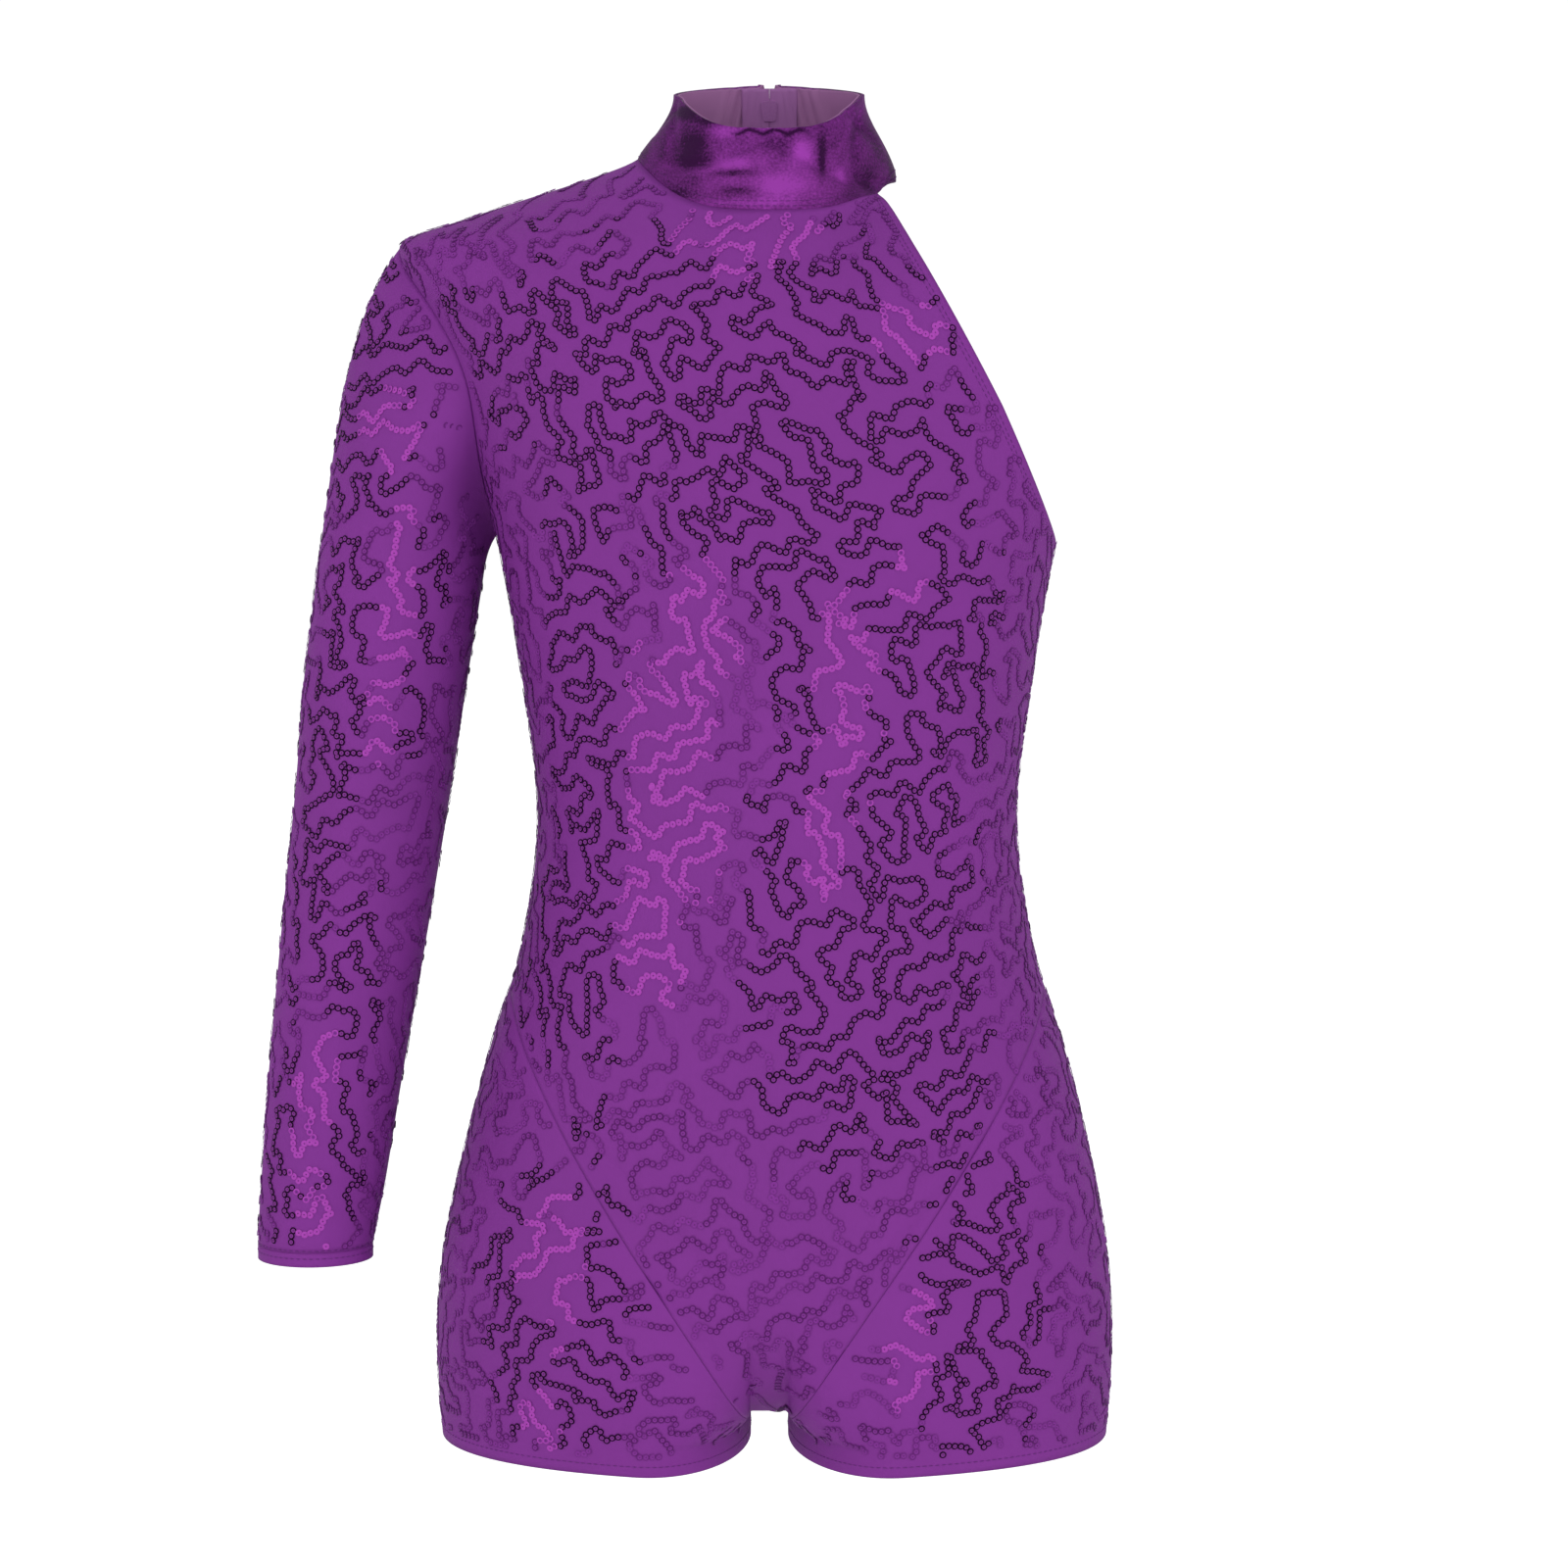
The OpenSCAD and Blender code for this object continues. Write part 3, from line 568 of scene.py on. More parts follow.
def back_point(sg, s, v):
    """Half of the back, s from the centre to the side: a Coons patch settled on the collar seam."""
    side_q = 90 if sg < 0 else 180 - bare_q
    q = mix(180 - math.degrees(math.asin(zip_slot / neck_half)), side_q, s)
    edge = neck_seam(sg * q)
    top_a = angle_at(edge[..., 0], edge[..., 2]) - (shoulder_lead * s**3 if sg < 0 else 0)
    m = ease(clamp((s - crotch_share_back) / (1 - crotch_share_back)))
    low_h = line_h(m)
    near = angle_at(sg * (seam_gap + (leg_gap - seam_gap) * s / crotch_share_back), crotch_h + 0 * s)
    low_a = np.where(s < crotch_share_back, near, angle_at(leg_x(sg, m, low_h), low_h))
    mid_h = mix(crotch_h, neck_h_back, v)
    mid_a = angle_at(mix(sg * leg_gap * 0.04, centre_x(sg, mid_h), smooth(v * 30)), mid_h)
    ends = np.array([0.0, 1.0])
    side_a, side_h = sleeve_side(v) if sg < 0 else bare_side(1, v)
    end_a, end_h = sleeve_side(ends) if sg < 0 else bare_side(1, ends)
    first_a = float(angle_at(sg * seam_gap, crotch_h))
    top_mid_a = float(angle_at(centre_x(sg, neck_h_back), neck_h_back))
    across = sine(90 * s)
    f = coons(across, v, sine(low_a), sine(top_a), sine(mid_a), sg * sine(side_a),
              (sine(first_a), sg * sine(end_a[0]), sine(top_mid_a), sg * sine(end_a[1])))
    h = coons(across, v, low_h + seam_gap, edge[..., 2], mid_h, side_h,
              (crotch_h, end_h[0], neck_h_back, end_h[1]))
    p = back(np.degrees(np.arcsin(np.clip(f, -1, 1))), h)
    drift = edge + np.array([0, seam_gap / 2, 0]) - back(top_a, edge[..., 2])
    return p + drift * smooth((v - tip_v) / (1 - tip_v))[..., None]


back_cols = 66
for name, sg in (("back_left", 1), ("back_right", -1)):
    s, v = grid_of(panel_rows, back_cols)
    grid = back_point(sg, 1 - s if sg > 0 else s, v)
    plain = unpinched(grid, 1, back_depth(grid[..., 2]))
    panel(name + "_panel", name, grid, flatten(plain, back_cols - 1 if sg > 0 else 0))

# ---- Legs ----
# Two short legs, each one closed piece of the sequinned knit with its seam inside the thigh,
# sewn to the front and the backs along a line that climbs from the crotch to the side seam.
outside_rise = 3.5
leg_rows, leg_cols = 56, 180


def round_leg(sg, m, k, h):
    """Round a leg: x by the share m from the inside to the outside, y on the trunk's front or back."""
    x = leg_x(sg, m, h)
    side = np.where(k < 0.5, front_y(x, h), back_y(x, h))
    end = (np.abs(k) < 1e-9) | (np.abs(k - 0.5) < 1e-9) | (np.abs(k - 1) < 1e-9)
    return np.stack([x, np.where(end, mid_y(h), side), h], -1)


def leg_round(sg, rows):
    """A grid round a leg, anticlockwise seen from above from the inside of the thigh: its rows v, the
    turn k, the share m from the inside to the outside, and the hem's height."""
    s, v = grid_of(rows, leg_cols + 1)
    k = s if sg > 0 else 1 - s
    m = ease(1 - np.abs(1 - 2 * k))
    return v, k, m, hem_low + outside_rise * m


for name, sg in (("leg_left", 1), ("leg_right", -1)):
    v, k, m, edge_h = leg_round(sg, leg_rows)
    grid = round_leg(sg, m, k, mix(edge_h, line_h(m) - seam_gap, v))
    panel(name + "_panel", name, grid, flatten(grid, leg_cols // 2), ring=True)

# ---- Sleeve ----
# One long tapering piece on the wearer's right arm, its seam under the arm, set into the
# armscye at the shoulder. The sections are ellipses that follow the hanging arm.
SLEEVE = [(83, -194.6, 24.6, 24.6, -15), (90, -193.8, 25.2, 25.2, -15), (111, -191, 26.6, 27, -14),
          (153, -186, 28.5, 29, -12), (195, -180.3, 30.3, 31, -10), (237, -174.6, 31.9, 33, -8),
          (279, -168.8, 33.1, 35, -7), (321, -163.8, 34.6, 36, -6), (363, -157.7, 35.3, 37, -5),
          (372, -156.5, 35.5, 37.5, -5)]
cuff_h = 77
cuff_l = 6
sleeve_top_h = 372
sleeve_low_h = cuff_h + cuff_l + seam_gap
sleeve_rows, sleeve_cols = 150, 96
arm_share = 0.6
arm_leaves, arm_arrives = (0.18, 0, 1), (0.55, 0, 0.7)


def sleeve_ring(k, h):
    """An ellipse at the height h: its centre, half width and half depth follow the stations."""
    cx, wide, deep, cy = (spline(SLEEVE, h, c) for c in (1, 2, 3, 4))
    return np.stack([cx - wide * cosine(360 * k), cy - deep * sine(360 * k), h + 0 * k], -1)


def sleeve_head(k):
    """The top edge: the armscye, on the trunk's front for k up to 0.5 and then on its back."""
    a, h = armscye((1 + cosine(360 * k)) / 2)
    return np.where((k <= 0.5)[..., None], front(-a, h), back(-a, h))


def sleeve_point(k, v):
    """Ellipses up to the arm's share of v, then a cubic from the top section into the armscye."""
    low = sleeve_ring(k, mix(sleeve_low_h, sleeve_top_h, clamp(v / arm_share)))
    t = clamp((v - arm_share) / (1 - arm_share))[..., None]
    a = sleeve_ring(k, sleeve_top_h + 0 * v)
    b = sleeve_head(k) - np.array([seam_gap, 0, 0])
    size = np.linalg.norm(b - a, axis=-1, keepdims=True)
    high = hermite(t, a, b, size, np.array(arm_leaves), np.array(arm_arrives))
    return np.where((v < arm_share)[..., None], low, high)


s, v = grid_of(sleeve_rows, sleeve_cols + 1)
sleeve_grid = sleeve_point((s + 0.5) % 1.0, v)
panel("sleeve_panel", "sleeve", sleeve_grid, flatten(sleeve_grid, sleeve_cols // 2, tall=True), ring=True)

# ---- Collar ----
# A stand collar of foil-printed knit with a matte lining inside and an elastic between them
# along the top, open at the back where the zip is. The foil creases where the collar bends.
neck_top = (40.3, 43)
collar_top = (554, 571, 578.5)
foil_t = 1.0
lining_t = 0.8
elastic_t = 0.5
clear = 0.1
collar_rows, collar_cols = 72, 360
collar_bow = 1.3
# The casing is a wavy groove in the foil, and its line is also darkened in the foil's colour as painted
# shade.
casing_h, casing_wave, casing_turn, casing_wide = 552.6, 0.9, 1.7, 0.75
casing_half, casing_fade, casing_deep, casing_painted_shade = 18, 6, 0.5, 0.6
ruck_x, ruck_wide, ruck_deep = 14, 7, 0.45
ruck_turn, ruck_lean = 1.5, 0.4


def neck_edge(q):
    """The collar's top edge, a smaller ring in the manner of the seam."""
    h = ring_h(q, *collar_top)
    y = np.where(np.abs(q) <= 90, -neck_top[1] * cosine(q),
                 zip_y(collar_top[2]) * ring_flat(q, neck_top[0]))
    return np.stack([neck_top[0] * sine(q), y, h], -1)


def collar_point(q, v):
    """From the seam to the top edge: inwards by sin(90 v)^collar_bow, and at the back along the zip's
    arc."""
    a, b = neck_seam(q), neck_edge(q)
    k = sine(90 * v)**collar_bow
    arc = ((zip_y(neck_h_back) - zip_y(mix(neck_h_back, collar_top[2], v)))
           / (zip_y(neck_h_back) - zip_y(collar_top[2])))
    y = mix(a[..., 1], b[..., 1], mix(k, arc, smooth(-cosine(q) * 1.6 - 0.2)))
    return np.stack([mix(a[..., 0], b[..., 0], k), y, mix(a[..., 2], b[..., 2], v)], -1)


def collar_grid(low, high, rows, inset=0.0):
    """A band of the collar from v = low to high, moved inwards by inset."""
    cut = math.degrees(math.asin(zip_slot / neck_half))
    s, v = grid_of(rows, collar_cols + 1)
    q = mix(cut - 180, 180 - cut, s)
    grid = collar_point(q, mix(low, high, v))
    grid[:, 0, 0], grid[:, -1, 0] = -zip_slot, zip_slot
    return q, mix(low, high, v), grid - inset * outward(grid)


# Creases of the foil, as angle from the front, lean, half width, depth, and the shares v where each
# starts and ends
FOIL_FOLDS = [(-4, 10, 2.2, 0.8, 0.62, 1.3), (3, -4, 2.0, 0.9, 0.7, 1.3), (10, -9, 2.4, 0.8, 0.58, 1.3),
              (17, -14, 2.6, 0.6, 0.66, 1.3), (-12, 16, 2.6, 0.6, 0.7, 1.3), (26, -60, 5.0, 0.9, 0.15, 0.9),
              (-34, 70, 5.5, 0.9, 0.1, 0.85), (52, 46, 4.5, 0.8, 0.2, 0.95), (-62, -40, 5.0, 0.8, 0.2, 0.95),
              (70, -30, 4.0, 0.7, 0.3, 1.2), (-84, 24, 4.0, 0.6, 0.3, 1.2), (110, -36, 5.0, 0.8, 0.1, 0.9),
              (-118, 40, 5.0, 0.8, 0.1, 0.9), (142, 20, 4.0, 0.5, 0.3, 1.2), (-146, -24, 4.0, 0.5, 0.3, 1.2)]
# Patches of painted highlight and painted shade on the foil, as x, height, half width, half height
# and strength
FOIL_PAINTED_LIGHT = [(-32, 546, 7, 9, -0.75), (-34, 562, 5, 2.6, -0.62), (-24, 558, 5.5, 2.2, -0.69),
                (-15, 535.5, 9, 1.5, -0.62), (-25, 541, 4, 3, -0.38), (22, 542, 1.7, 9, -0.62),
                (6, 547, 10, 3.6, -0.38), (-38, 527.5, 8, 4, -0.38), (44, 540, 9, 10, -0.19),
                (-12, 528, 7, 1.5, -0.38), (-17, 553, 6, 2.6, 0.5), (-15, 539.5, 8, 2.6, 0.56),
                (14, 544.5, 4.5, 5.5, 0.81), (4, 530, 14, 5, 0.62), (-29, 536.5, 6, 1.8, 0.38),
                (31, 536, 2.6, 3, 0.5), (0, 555, 7, 1.3, 0.5), (-10, 523, 20, 1.8, 0.44)]
foil_painted_dark = (0.040, 0.006, 0.052)
foil_bright = (0.42, 0.062, 0.51)


def gathers(q, v):
    """Creases of the foil: each is a hollow exp(-(d / w)^2) along a line q = centre + lean (v - 0.5)."""
    depth = np.zeros(q.shape)
    for centre, lean, w, high, low_v, top_v in FOIL_FOLDS:
        d = q - centre - lean * (v - 0.5)
        depth += high * np.exp(-(d / w)**2) * smooth((v - low_v) * 6) * smooth((top_v - v) * 6)
    return depth


q, up, foil_grid = collar_grid(0.0, 1.0, collar_rows)
in_front = np.abs(q) < 90
foil_grid = foil_grid - outward(foil_grid) * gathers(q, up)[..., None]
x, h = foil_grid[..., 0], foil_grid[..., 2]
off_line = (h - casing_h - casing_wave * np.sin(x / casing_turn)) / casing_wide
casing = np.exp(-off_line**2) * clamp((casing_half - np.abs(x)) / casing_fade) * in_front
foil_grid = foil_grid - outward(foil_grid) * casing_deep * casing[..., None]
foil_flat = flatten(foil_grid, collar_cols // 2, tall=True)
foil_paint = cloth_paint("foil_knit", foil_bright, wale=1800.0, bump=0.00006, specular=0.4, metallic=0.55)
tree = foil_paint.node_tree
shader = tree.nodes["Principled BSDF"]
foil_at = node(tree, "TexCoord").outputs["UV"]
blotch = node(tree, "TexNoise", [(foil_at, "Vector")],
              dict(Scale=34.0, Detail=5.0, Roughness=0.62, Distortion=0.8))
grain = node(tree, "TexNoise", [(foil_at, "Vector")], dict(Scale=900.0, Detail=2.0))
# The foil's colour runs from its dark to its bright purple by the painted shine, a painted highlight and
# painted shade, with print blotches and grain on top.
painted_shine_node = node(tree, "Attribute", attribute_name="painted_shine")
printed = node(tree, "MapRange", [(blotch.outputs["Fac"], "Value")],
               {"From Min": 0.36, "From Max": 0.66, "To Min": -0.2, "To Max": 0.2})
lit = node(tree, "Math", [(painted_shine_node.outputs["Fac"], 0), (printed.outputs["Result"], 1)], operation="ADD")
painted_shine_and_print = node(tree, "Math", [(lit.outputs["Value"], 0), (ranged(tree, grain.outputs["Fac"], -0.5, 0.5), 1)],
            operation="ADD", use_clamp=True).outputs["Value"]
knitted = next(n for n in tree.nodes if n.type == "GROUP")
foil_mix = node(tree, "Mix", [(painted_shine_and_print, 0), (knitted.outputs["Colour"], 7)], {6: (*foil_painted_dark, 1)},
                data_type="RGBA")
tree.links.new(foil_mix.outputs[2], shader.inputs["Base Color"])
tree.links.new(ranged(tree, painted_shine_and_print, 0.30, 0.48), shader.inputs["Roughness"])
shader.inputs["Specular Tint"].default_value = (0.5, 0.12, 0.55, 1)


foil_piece = sew("collar_foil", foil_grid, foil_flat, foil_t, foil_paint)
# Painted shine: a painted highlight at the middle of the front and of the back, falling off to painted
# shade at the sides, with painted shade along the casing's line and the patches of painted light
painted_shine = np.where(in_front, 0.12 + 0.36 * np.maximum(cosine(q), 0)**0.7, 0.14 + 0.25 * cosine(q)**2)
painted_shine -= casing_painted_shade * casing
for cx, ch, wide, high, strength in FOIL_PAINTED_LIGHT:
    painted_shine += in_front * strength * np.exp(-((x - cx) / wide)**2 - ((h - ch) / high)**2)
painted_shine_attr = foil_piece.data.attributes.new("painted_shine", "FLOAT", "POINT")
painted_shine_attr.data.foreach_set("value", painted_shine.ravel())
fix(foil_piece, "collar_shell")

lining_paint = cloth_paint("matte_lining", (0.40, 0.175, 0.39), wale=1500.0, specular=0.1)
q, up, lining_grid = collar_grid(0.02, 0.995, 70, foil_t + elastic_t + 2 * clear)
across = np.abs(lining_grid[..., 0])
beside_zip = np.exp(-((across - ruck_x) / ruck_wide)**2) * (np.abs(q) > 90)
ruck = ruck_deep * beside_zip * np.sin(ruck_turn * across + ruck_lean * lining_grid[..., 2])
lining_grid = lining_grid - outward(lining_grid) * (gathers(q, up) + ruck)[..., None]
lining_flat = flatten(lining_grid, collar_cols // 2, tall=True)
lining_piece = sew("collar_inside", lining_grid, lining_flat, lining_t, lining_paint)
fix(lining_piece, "collar_lining")

elastic_paint = cloth_paint("elastic_web", (0.75, 0.73, 0.75), wale=900.0, bump=0.00012)


def trim(name, grid, thickness, paint, node_name, ring=False, middle=0):
    """A strip of cloth: its flat pattern, sewn with its thickness and fixed to the garment."""
    flat = flatten(grid, middle, tall=True)
    piece = sew(name, grid, flat, thickness, paint, ring=ring)
    fix(piece, node_name)
    return piece


q, up, top_band = collar_grid(0.84, 0.98, 6, foil_t + clear)
top_band = top_band - outward(top_band) * gathers(q, up)[..., None]
trim("collar_band", top_band, elastic_t, elastic_paint, "collar_elastic")

# ---- Hems and armhole ----
# The leg hems, the cuff and the bare armhole's edge are turned in, over a flat elastic at the
# legs and the armhole, and stitched down. A turned edge is a second layer of the same knit.
hem_d = 5
cuff_r = 22.6
cuff_wall = 2.0
cuff_at = (-194.7, -15)
inner_1 = cloth_t + clear
band_gap = 0.4


def inset_ring(grid, start):
    """A closed ring moved in by start, its two end columns sharing the normal across the join."""
    wide = np.hstack([grid[:, -2:-1], grid, grid[:, 1:2]])
    return grid - start * outward(wide)[:, 1:-1]


def cuff_ring(s, h):
    """A circle on the cuff's outer face at the height h."""
    r = cuff_r + cuff_wall
    return np.stack([cuff_at[0] - r * cosine(360 * s), cuff_at[1] - r * sine(360 * s), h], -1)


hem_deep = inner_1 + elastic_t + clear
for name, sg in (("left", 1), ("right", -1)):
    v, k, m, edge_h = leg_round(sg, 4)
    turned = inset_ring(round_leg(sg, m, k, edge_h + hem_d * v), hem_deep)
    trim("leg_turn_" + name, turned, lining_t, purple_knit, "leg_hem_" + name, ring=True)
    band = inset_ring(round_leg(sg, m, k, edge_h + mix(0.5, hem_d - 0.5, v)), inner_1)
    trim("leg_band_" + name, band, elastic_t, elastic_paint, "leg_elastic_" + name, ring=True)

s, v = grid_of(5, sleeve_cols + 1)
trim("cuff_turn", cuff_ring(s, cuff_h + cuff_l * v), cuff_wall, purple_knit, "cuff_hem",
     ring=True)


def bare_strip(sg, low, high, start):
    """A strip inside the bare armhole's edge, from low to high millimetres in, moved in by start."""
    s, v = grid_of(6, 120)
    up = 0.5 + mix(0.004, 0.992, 1 - s if sg < 0 else s) / 2
    edge, near = (front_point(x + 0 * s, up) if sg < 0 else back_point(1, x + 0 * s, up) for x in (1, 0.97))
    step = np.linalg.norm(near - edge, axis=-1, keepdims=True)
    grid = edge + (near - edge) * mix(high, low, v)[..., None] / step
    return grid - start * outward(grid)


for part, low, high, start, thick, paint, slot in (
        ("binding", 0.6, 7, inner_1 + band_gap + elastic_t + clear, lining_t, purple_knit, "binding_knit"),
        ("elastic", 1, 6.4, inner_1 + band_gap, elastic_t, elastic_paint, "elastic")):
    for name, sg in (("front", -1), ("back", 1)):
        trim("armhole_%s_%s" % (part, name), bare_strip(sg, low, high, start), thick, paint,
             "armhole_" + part)

# ---- Gusset lining and care label ----
# A soft cotton lining covers the crotch seams inside, one piece in front and two behind. A blank
# ribbon label is caught in the left side of the back.
cotton_paint = cloth_paint("cotton_lining", (0.72, 0.70, 0.68), wale=1300.0, bump=0.00008)
ribbon_paint = cloth_paint("label_ribbon", (0.8, 0.8, 0.8), wale=2600.0, specular=0.4)
gusset_low, gusset_high = 2 / 26, 7 / 26
s, v = grid_of(24, 40)
front_gusset = front_point(mix(1 / 3, 2 / 3, s), mix(gusset_low, gusset_high, v))
front_gusset = front_gusset - (inner_1 + band_gap) * outward(front_gusset)
trim("gusset_front", front_gusset, lining_t, cotton_paint, "gusset_lining", middle=20)
for name, sg in (("left", 1), ("right", -1)):
    share = mix(1 / 18, 1 / 3, 1 - s if sg > 0 else s)
    grid = back_point(sg, share, mix(gusset_low, gusset_high, v))
    grid = grid - (inner_1 + band_gap) * outward(grid)
    trim("gusset_back_" + name, grid, lining_t, cotton_paint, "gusset_lining")

label_w, label_l, label_x, label_h = 18, 24, 88, 300
s, v = grid_of(10, 10)
label_at = np.stack([label_x - label_w * s, 0 * s, label_h + label_l * v], -1)
label_at[..., 1] = back_y(label_at[..., 0], label_at[..., 2])
label_grid = label_at - (inner_1 + 1) * outward(label_at)
trim("label_ribbon", label_grid, 0.3, ribbon_paint, "care_label")

# ---- Sequins ----
# Cupped film sequins, 3 mm across with a hole in the middle, chain-stitched on the knit in one
# wandering line before it is cut. Their flashes and dark rims are painted into the film's colour by
# place: painted reflections of the lamps, and painted shade on the rims elsewhere.
sequin_r, rim_r, hole_r = 1.5, 0.92, 0.30
rim_up, hole_up = 0.16, 0.05
sequin_pitch = 2.66
run_gap = 8.9
stand_off = 0.32
shingle = 6
sequin_sides = 10
seam_margin = 2.3
shake, rounding, run_steps = 0.37, 1.15, 9
kink_wide, kink_fine = 1.9, 0.9
carry_skip, carry_steps, carry_move, carry_miss = 3, 7, 6, 0.4
dark_over, flash_over, bright_over = 0.12, 0.36, 0.10


def spanning_tree(nx, ny, rng):
    """Links between neighbouring cells of an nx by ny grid, grown cell by cell in a random order."""
    reached, links = {(nx // 2, ny // 2)}, []
    open_cells = [(nx // 2, ny // 2)]
    while open_cells:
        pick = int(rng.integers(max(0, len(open_cells) - 5), len(open_cells)))
        i, j = open_cells[pick]
        free = [(i + a, j + b) for a, b in ((1, 0), (-1, 0), (0, 1), (0, -1))
                if 0 <= i + a < nx and 0 <= j + b < ny and (i + a, j + b) not in reached]
        if not free:
            open_cells.pop(pick)
            continue
        following = free[int(rng.integers(len(free)))]
        reached.add(following)
        links.append(((i, j), following))
        open_cells.append(following)
    return links


def wandering(reach, seed):
    """A closed line that fills a square of half side reach and never crosses itself: the walk round a
    spanning tree on cells two runs wide. Its corners are shaken and rounded by a Gaussian filter, and
    two shears made of sines kink it."""
    rng = np.random.default_rng(seed)
    n = int(math.ceil(reach / run_gap)) + 1
    beside = {}
    for i in range(2 * n):
        for j in range(2 * n):
            beside[i, j] = {(i ^ 1, j), (i, j ^ 1)}
    for (i, j), (p, q) in spanning_tree(n, n, rng):
        a, b = (max(i, p), max(j, q)), (min(i, p), min(j, q))
        if i != p:
            near = [(2 * b[0] + 1, 2 * j), (2 * b[0] + 1, 2 * j + 1)]
            far = [(2 * a[0], 2 * j), (2 * a[0], 2 * j + 1)]
        else:
            near = [(2 * i, 2 * b[1] + 1), (2 * i + 1, 2 * b[1] + 1)]
            far = [(2 * i, 2 * a[1]), (2 * i + 1, 2 * a[1])]
        for pair in (near, far):
            beside[pair[0]].discard(pair[1])
            beside[pair[1]].discard(pair[0])
        for low, high in zip(near, far):
            beside[low].add(high)
            beside[high].add(low)
    walk, last = [(0, 0)], None
    while len(walk) < 4 * n * n:
        here = walk[-1]
        onward = next(x for x in sorted(beside[here]) if x != last)
        last = here
        walk.append(onward)
    nodes = (np.array(walk, float) - n + 0.5) * run_gap
    nodes += rng.uniform(-shake, shake, nodes.shape) * run_gap
    count = len(nodes) * run_steps
    at = np.arange(count) / run_steps
    line = np.stack([np.interp(at, np.arange(len(nodes) + 1), np.append(nodes[:, c], nodes[0, c]))
                     for c in (0, 1)], -1)
    wave = np.fft.rfftfreq(count)[:, None]
    line = np.fft.irfft(np.fft.rfft(line, axis=0) * np.exp(-2 * (math.pi * rounding * wave)**2), count,
                        axis=0)

    def kink(x, y, wide, slow, fine, quick):
        return (x + kink_wide * np.sin(y / wide + 2 * np.sin(x / slow + seed))
                + kink_fine * np.sin(y / fine + 2 * np.sin(x / quick)))

    x, y = line.T
    x = kink(x, y, 2.35, 19, 1.45, 13)
    y = kink(y, x, 2.15, 17, 1.35, 11)
    turn = rng.uniform(0.2, 1.3)
    line = np.stack([x, y], -1)
    return line @ np.array([[math.cos(turn), math.sin(turn)], [-math.sin(turn), math.cos(turn)]])


def on_grid(table, at):
    """Bilinear value of a table at (row, column), with its change along the rows and the columns."""
    low = np.clip(np.floor(at).astype(int), 0, np.array(table.shape[:2]) - 2)
    i, j = low.T
    f, g = (at - low).T[..., None]
    a, b, c, d = table[i, j], table[i, j + 1], table[i + 1, j], table[i + 1, j + 1]
    return ((a * (1 - g) + b * g) * (1 - f) + (c * (1 - g) + d * g) * f,
            (c - a) * (1 - g) + (d - b) * g, (b - a) * (1 - f) + (d - c) * f)


def by_blocks(points, others, pick):
    """pick of each point's squared distances to the others, a thousand points at a time."""
    return np.concatenate([pick(((block[:, None] - others[None])**2).sum(2))
                           for block in np.array_split(points, len(points) // 1000 + 1)])


def carry(points, flat):
    """Row and column of flat-pattern points: the nearest grid point, then Newton steps on the pattern."""
    sparse = flat[::carry_skip, ::carry_skip]
    nearest = by_blocks(points, sparse.reshape(-1, 2), lambda d: d.argmin(1))
    at = np.stack([nearest // sparse.shape[1], nearest % sparse.shape[1]], -1) * float(carry_skip)
    limit = np.array(flat.shape[:2]) - 1.0
    for step in range(carry_steps):
        here, di, dj = on_grid(flat, at)
        gap = points - here
        det = di[:, 0] * dj[:, 1] - di[:, 1] * dj[:, 0]
        det = np.where(np.abs(det) < 1e-6, 1e-6, det)
        move = np.stack([gap[:, 0] * dj[:, 1] - gap[:, 1] * dj[:, 0],
                         di[:, 0] * gap[:, 1] - di[:, 1] * gap[:, 0]], -1) / det[:, None]
        at = np.clip(at + np.clip(move, -carry_move, carry_move), 0, limit)
    return at, np.linalg.norm(on_grid(flat, at)[0] - points, axis=1) < carry_miss


def chain(grid, flat, seed, keep):
    """Places along one chain on a panel, a pitch apart on the cloth: centres, directions and normals."""
    middle = (flat.reshape(-1, 2).max(0) + flat.reshape(-1, 2).min(0)) / 2
    half = np.ptp(flat.reshape(-1, 2), axis=0) / 2
    line = wandering(float(np.linalg.norm(half)) + run_gap, seed) + middle
    within = (np.abs(line - middle) < half).all(1)
    at = np.zeros_like(line)
    at[within], found = carry(line[within], flat)
    good = within.copy()
    good[within] = found
    place, normal = on_grid(grid, at)[0], on_grid(outward(grid), at)[0]
    rim = np.concatenate([grid[0], grid[-1], grid[:, 0], grid[:, -1]])
    inside = np.flatnonzero(good)
    clear_by = by_blocks(place[inside], rim, lambda d: d.min(1))
    good[inside] = (clear_by > seam_margin**2) & keep(place[inside])
    step = np.linalg.norm(np.diff(place, axis=0), axis=1) * (good[1:] & good[:-1])
    run = np.concatenate([[0], step.cumsum()])
    want = np.arange(sequin_pitch / 2, run[-1], sequin_pitch)
    i = np.searchsorted(run, want) - 1
    share = ((want - run[i]) / step[i])[:, None]
    centre = mix(place[i], place[i + 1], share)
    return centre, unit(place[i + 1] - place[i]), normal[i]


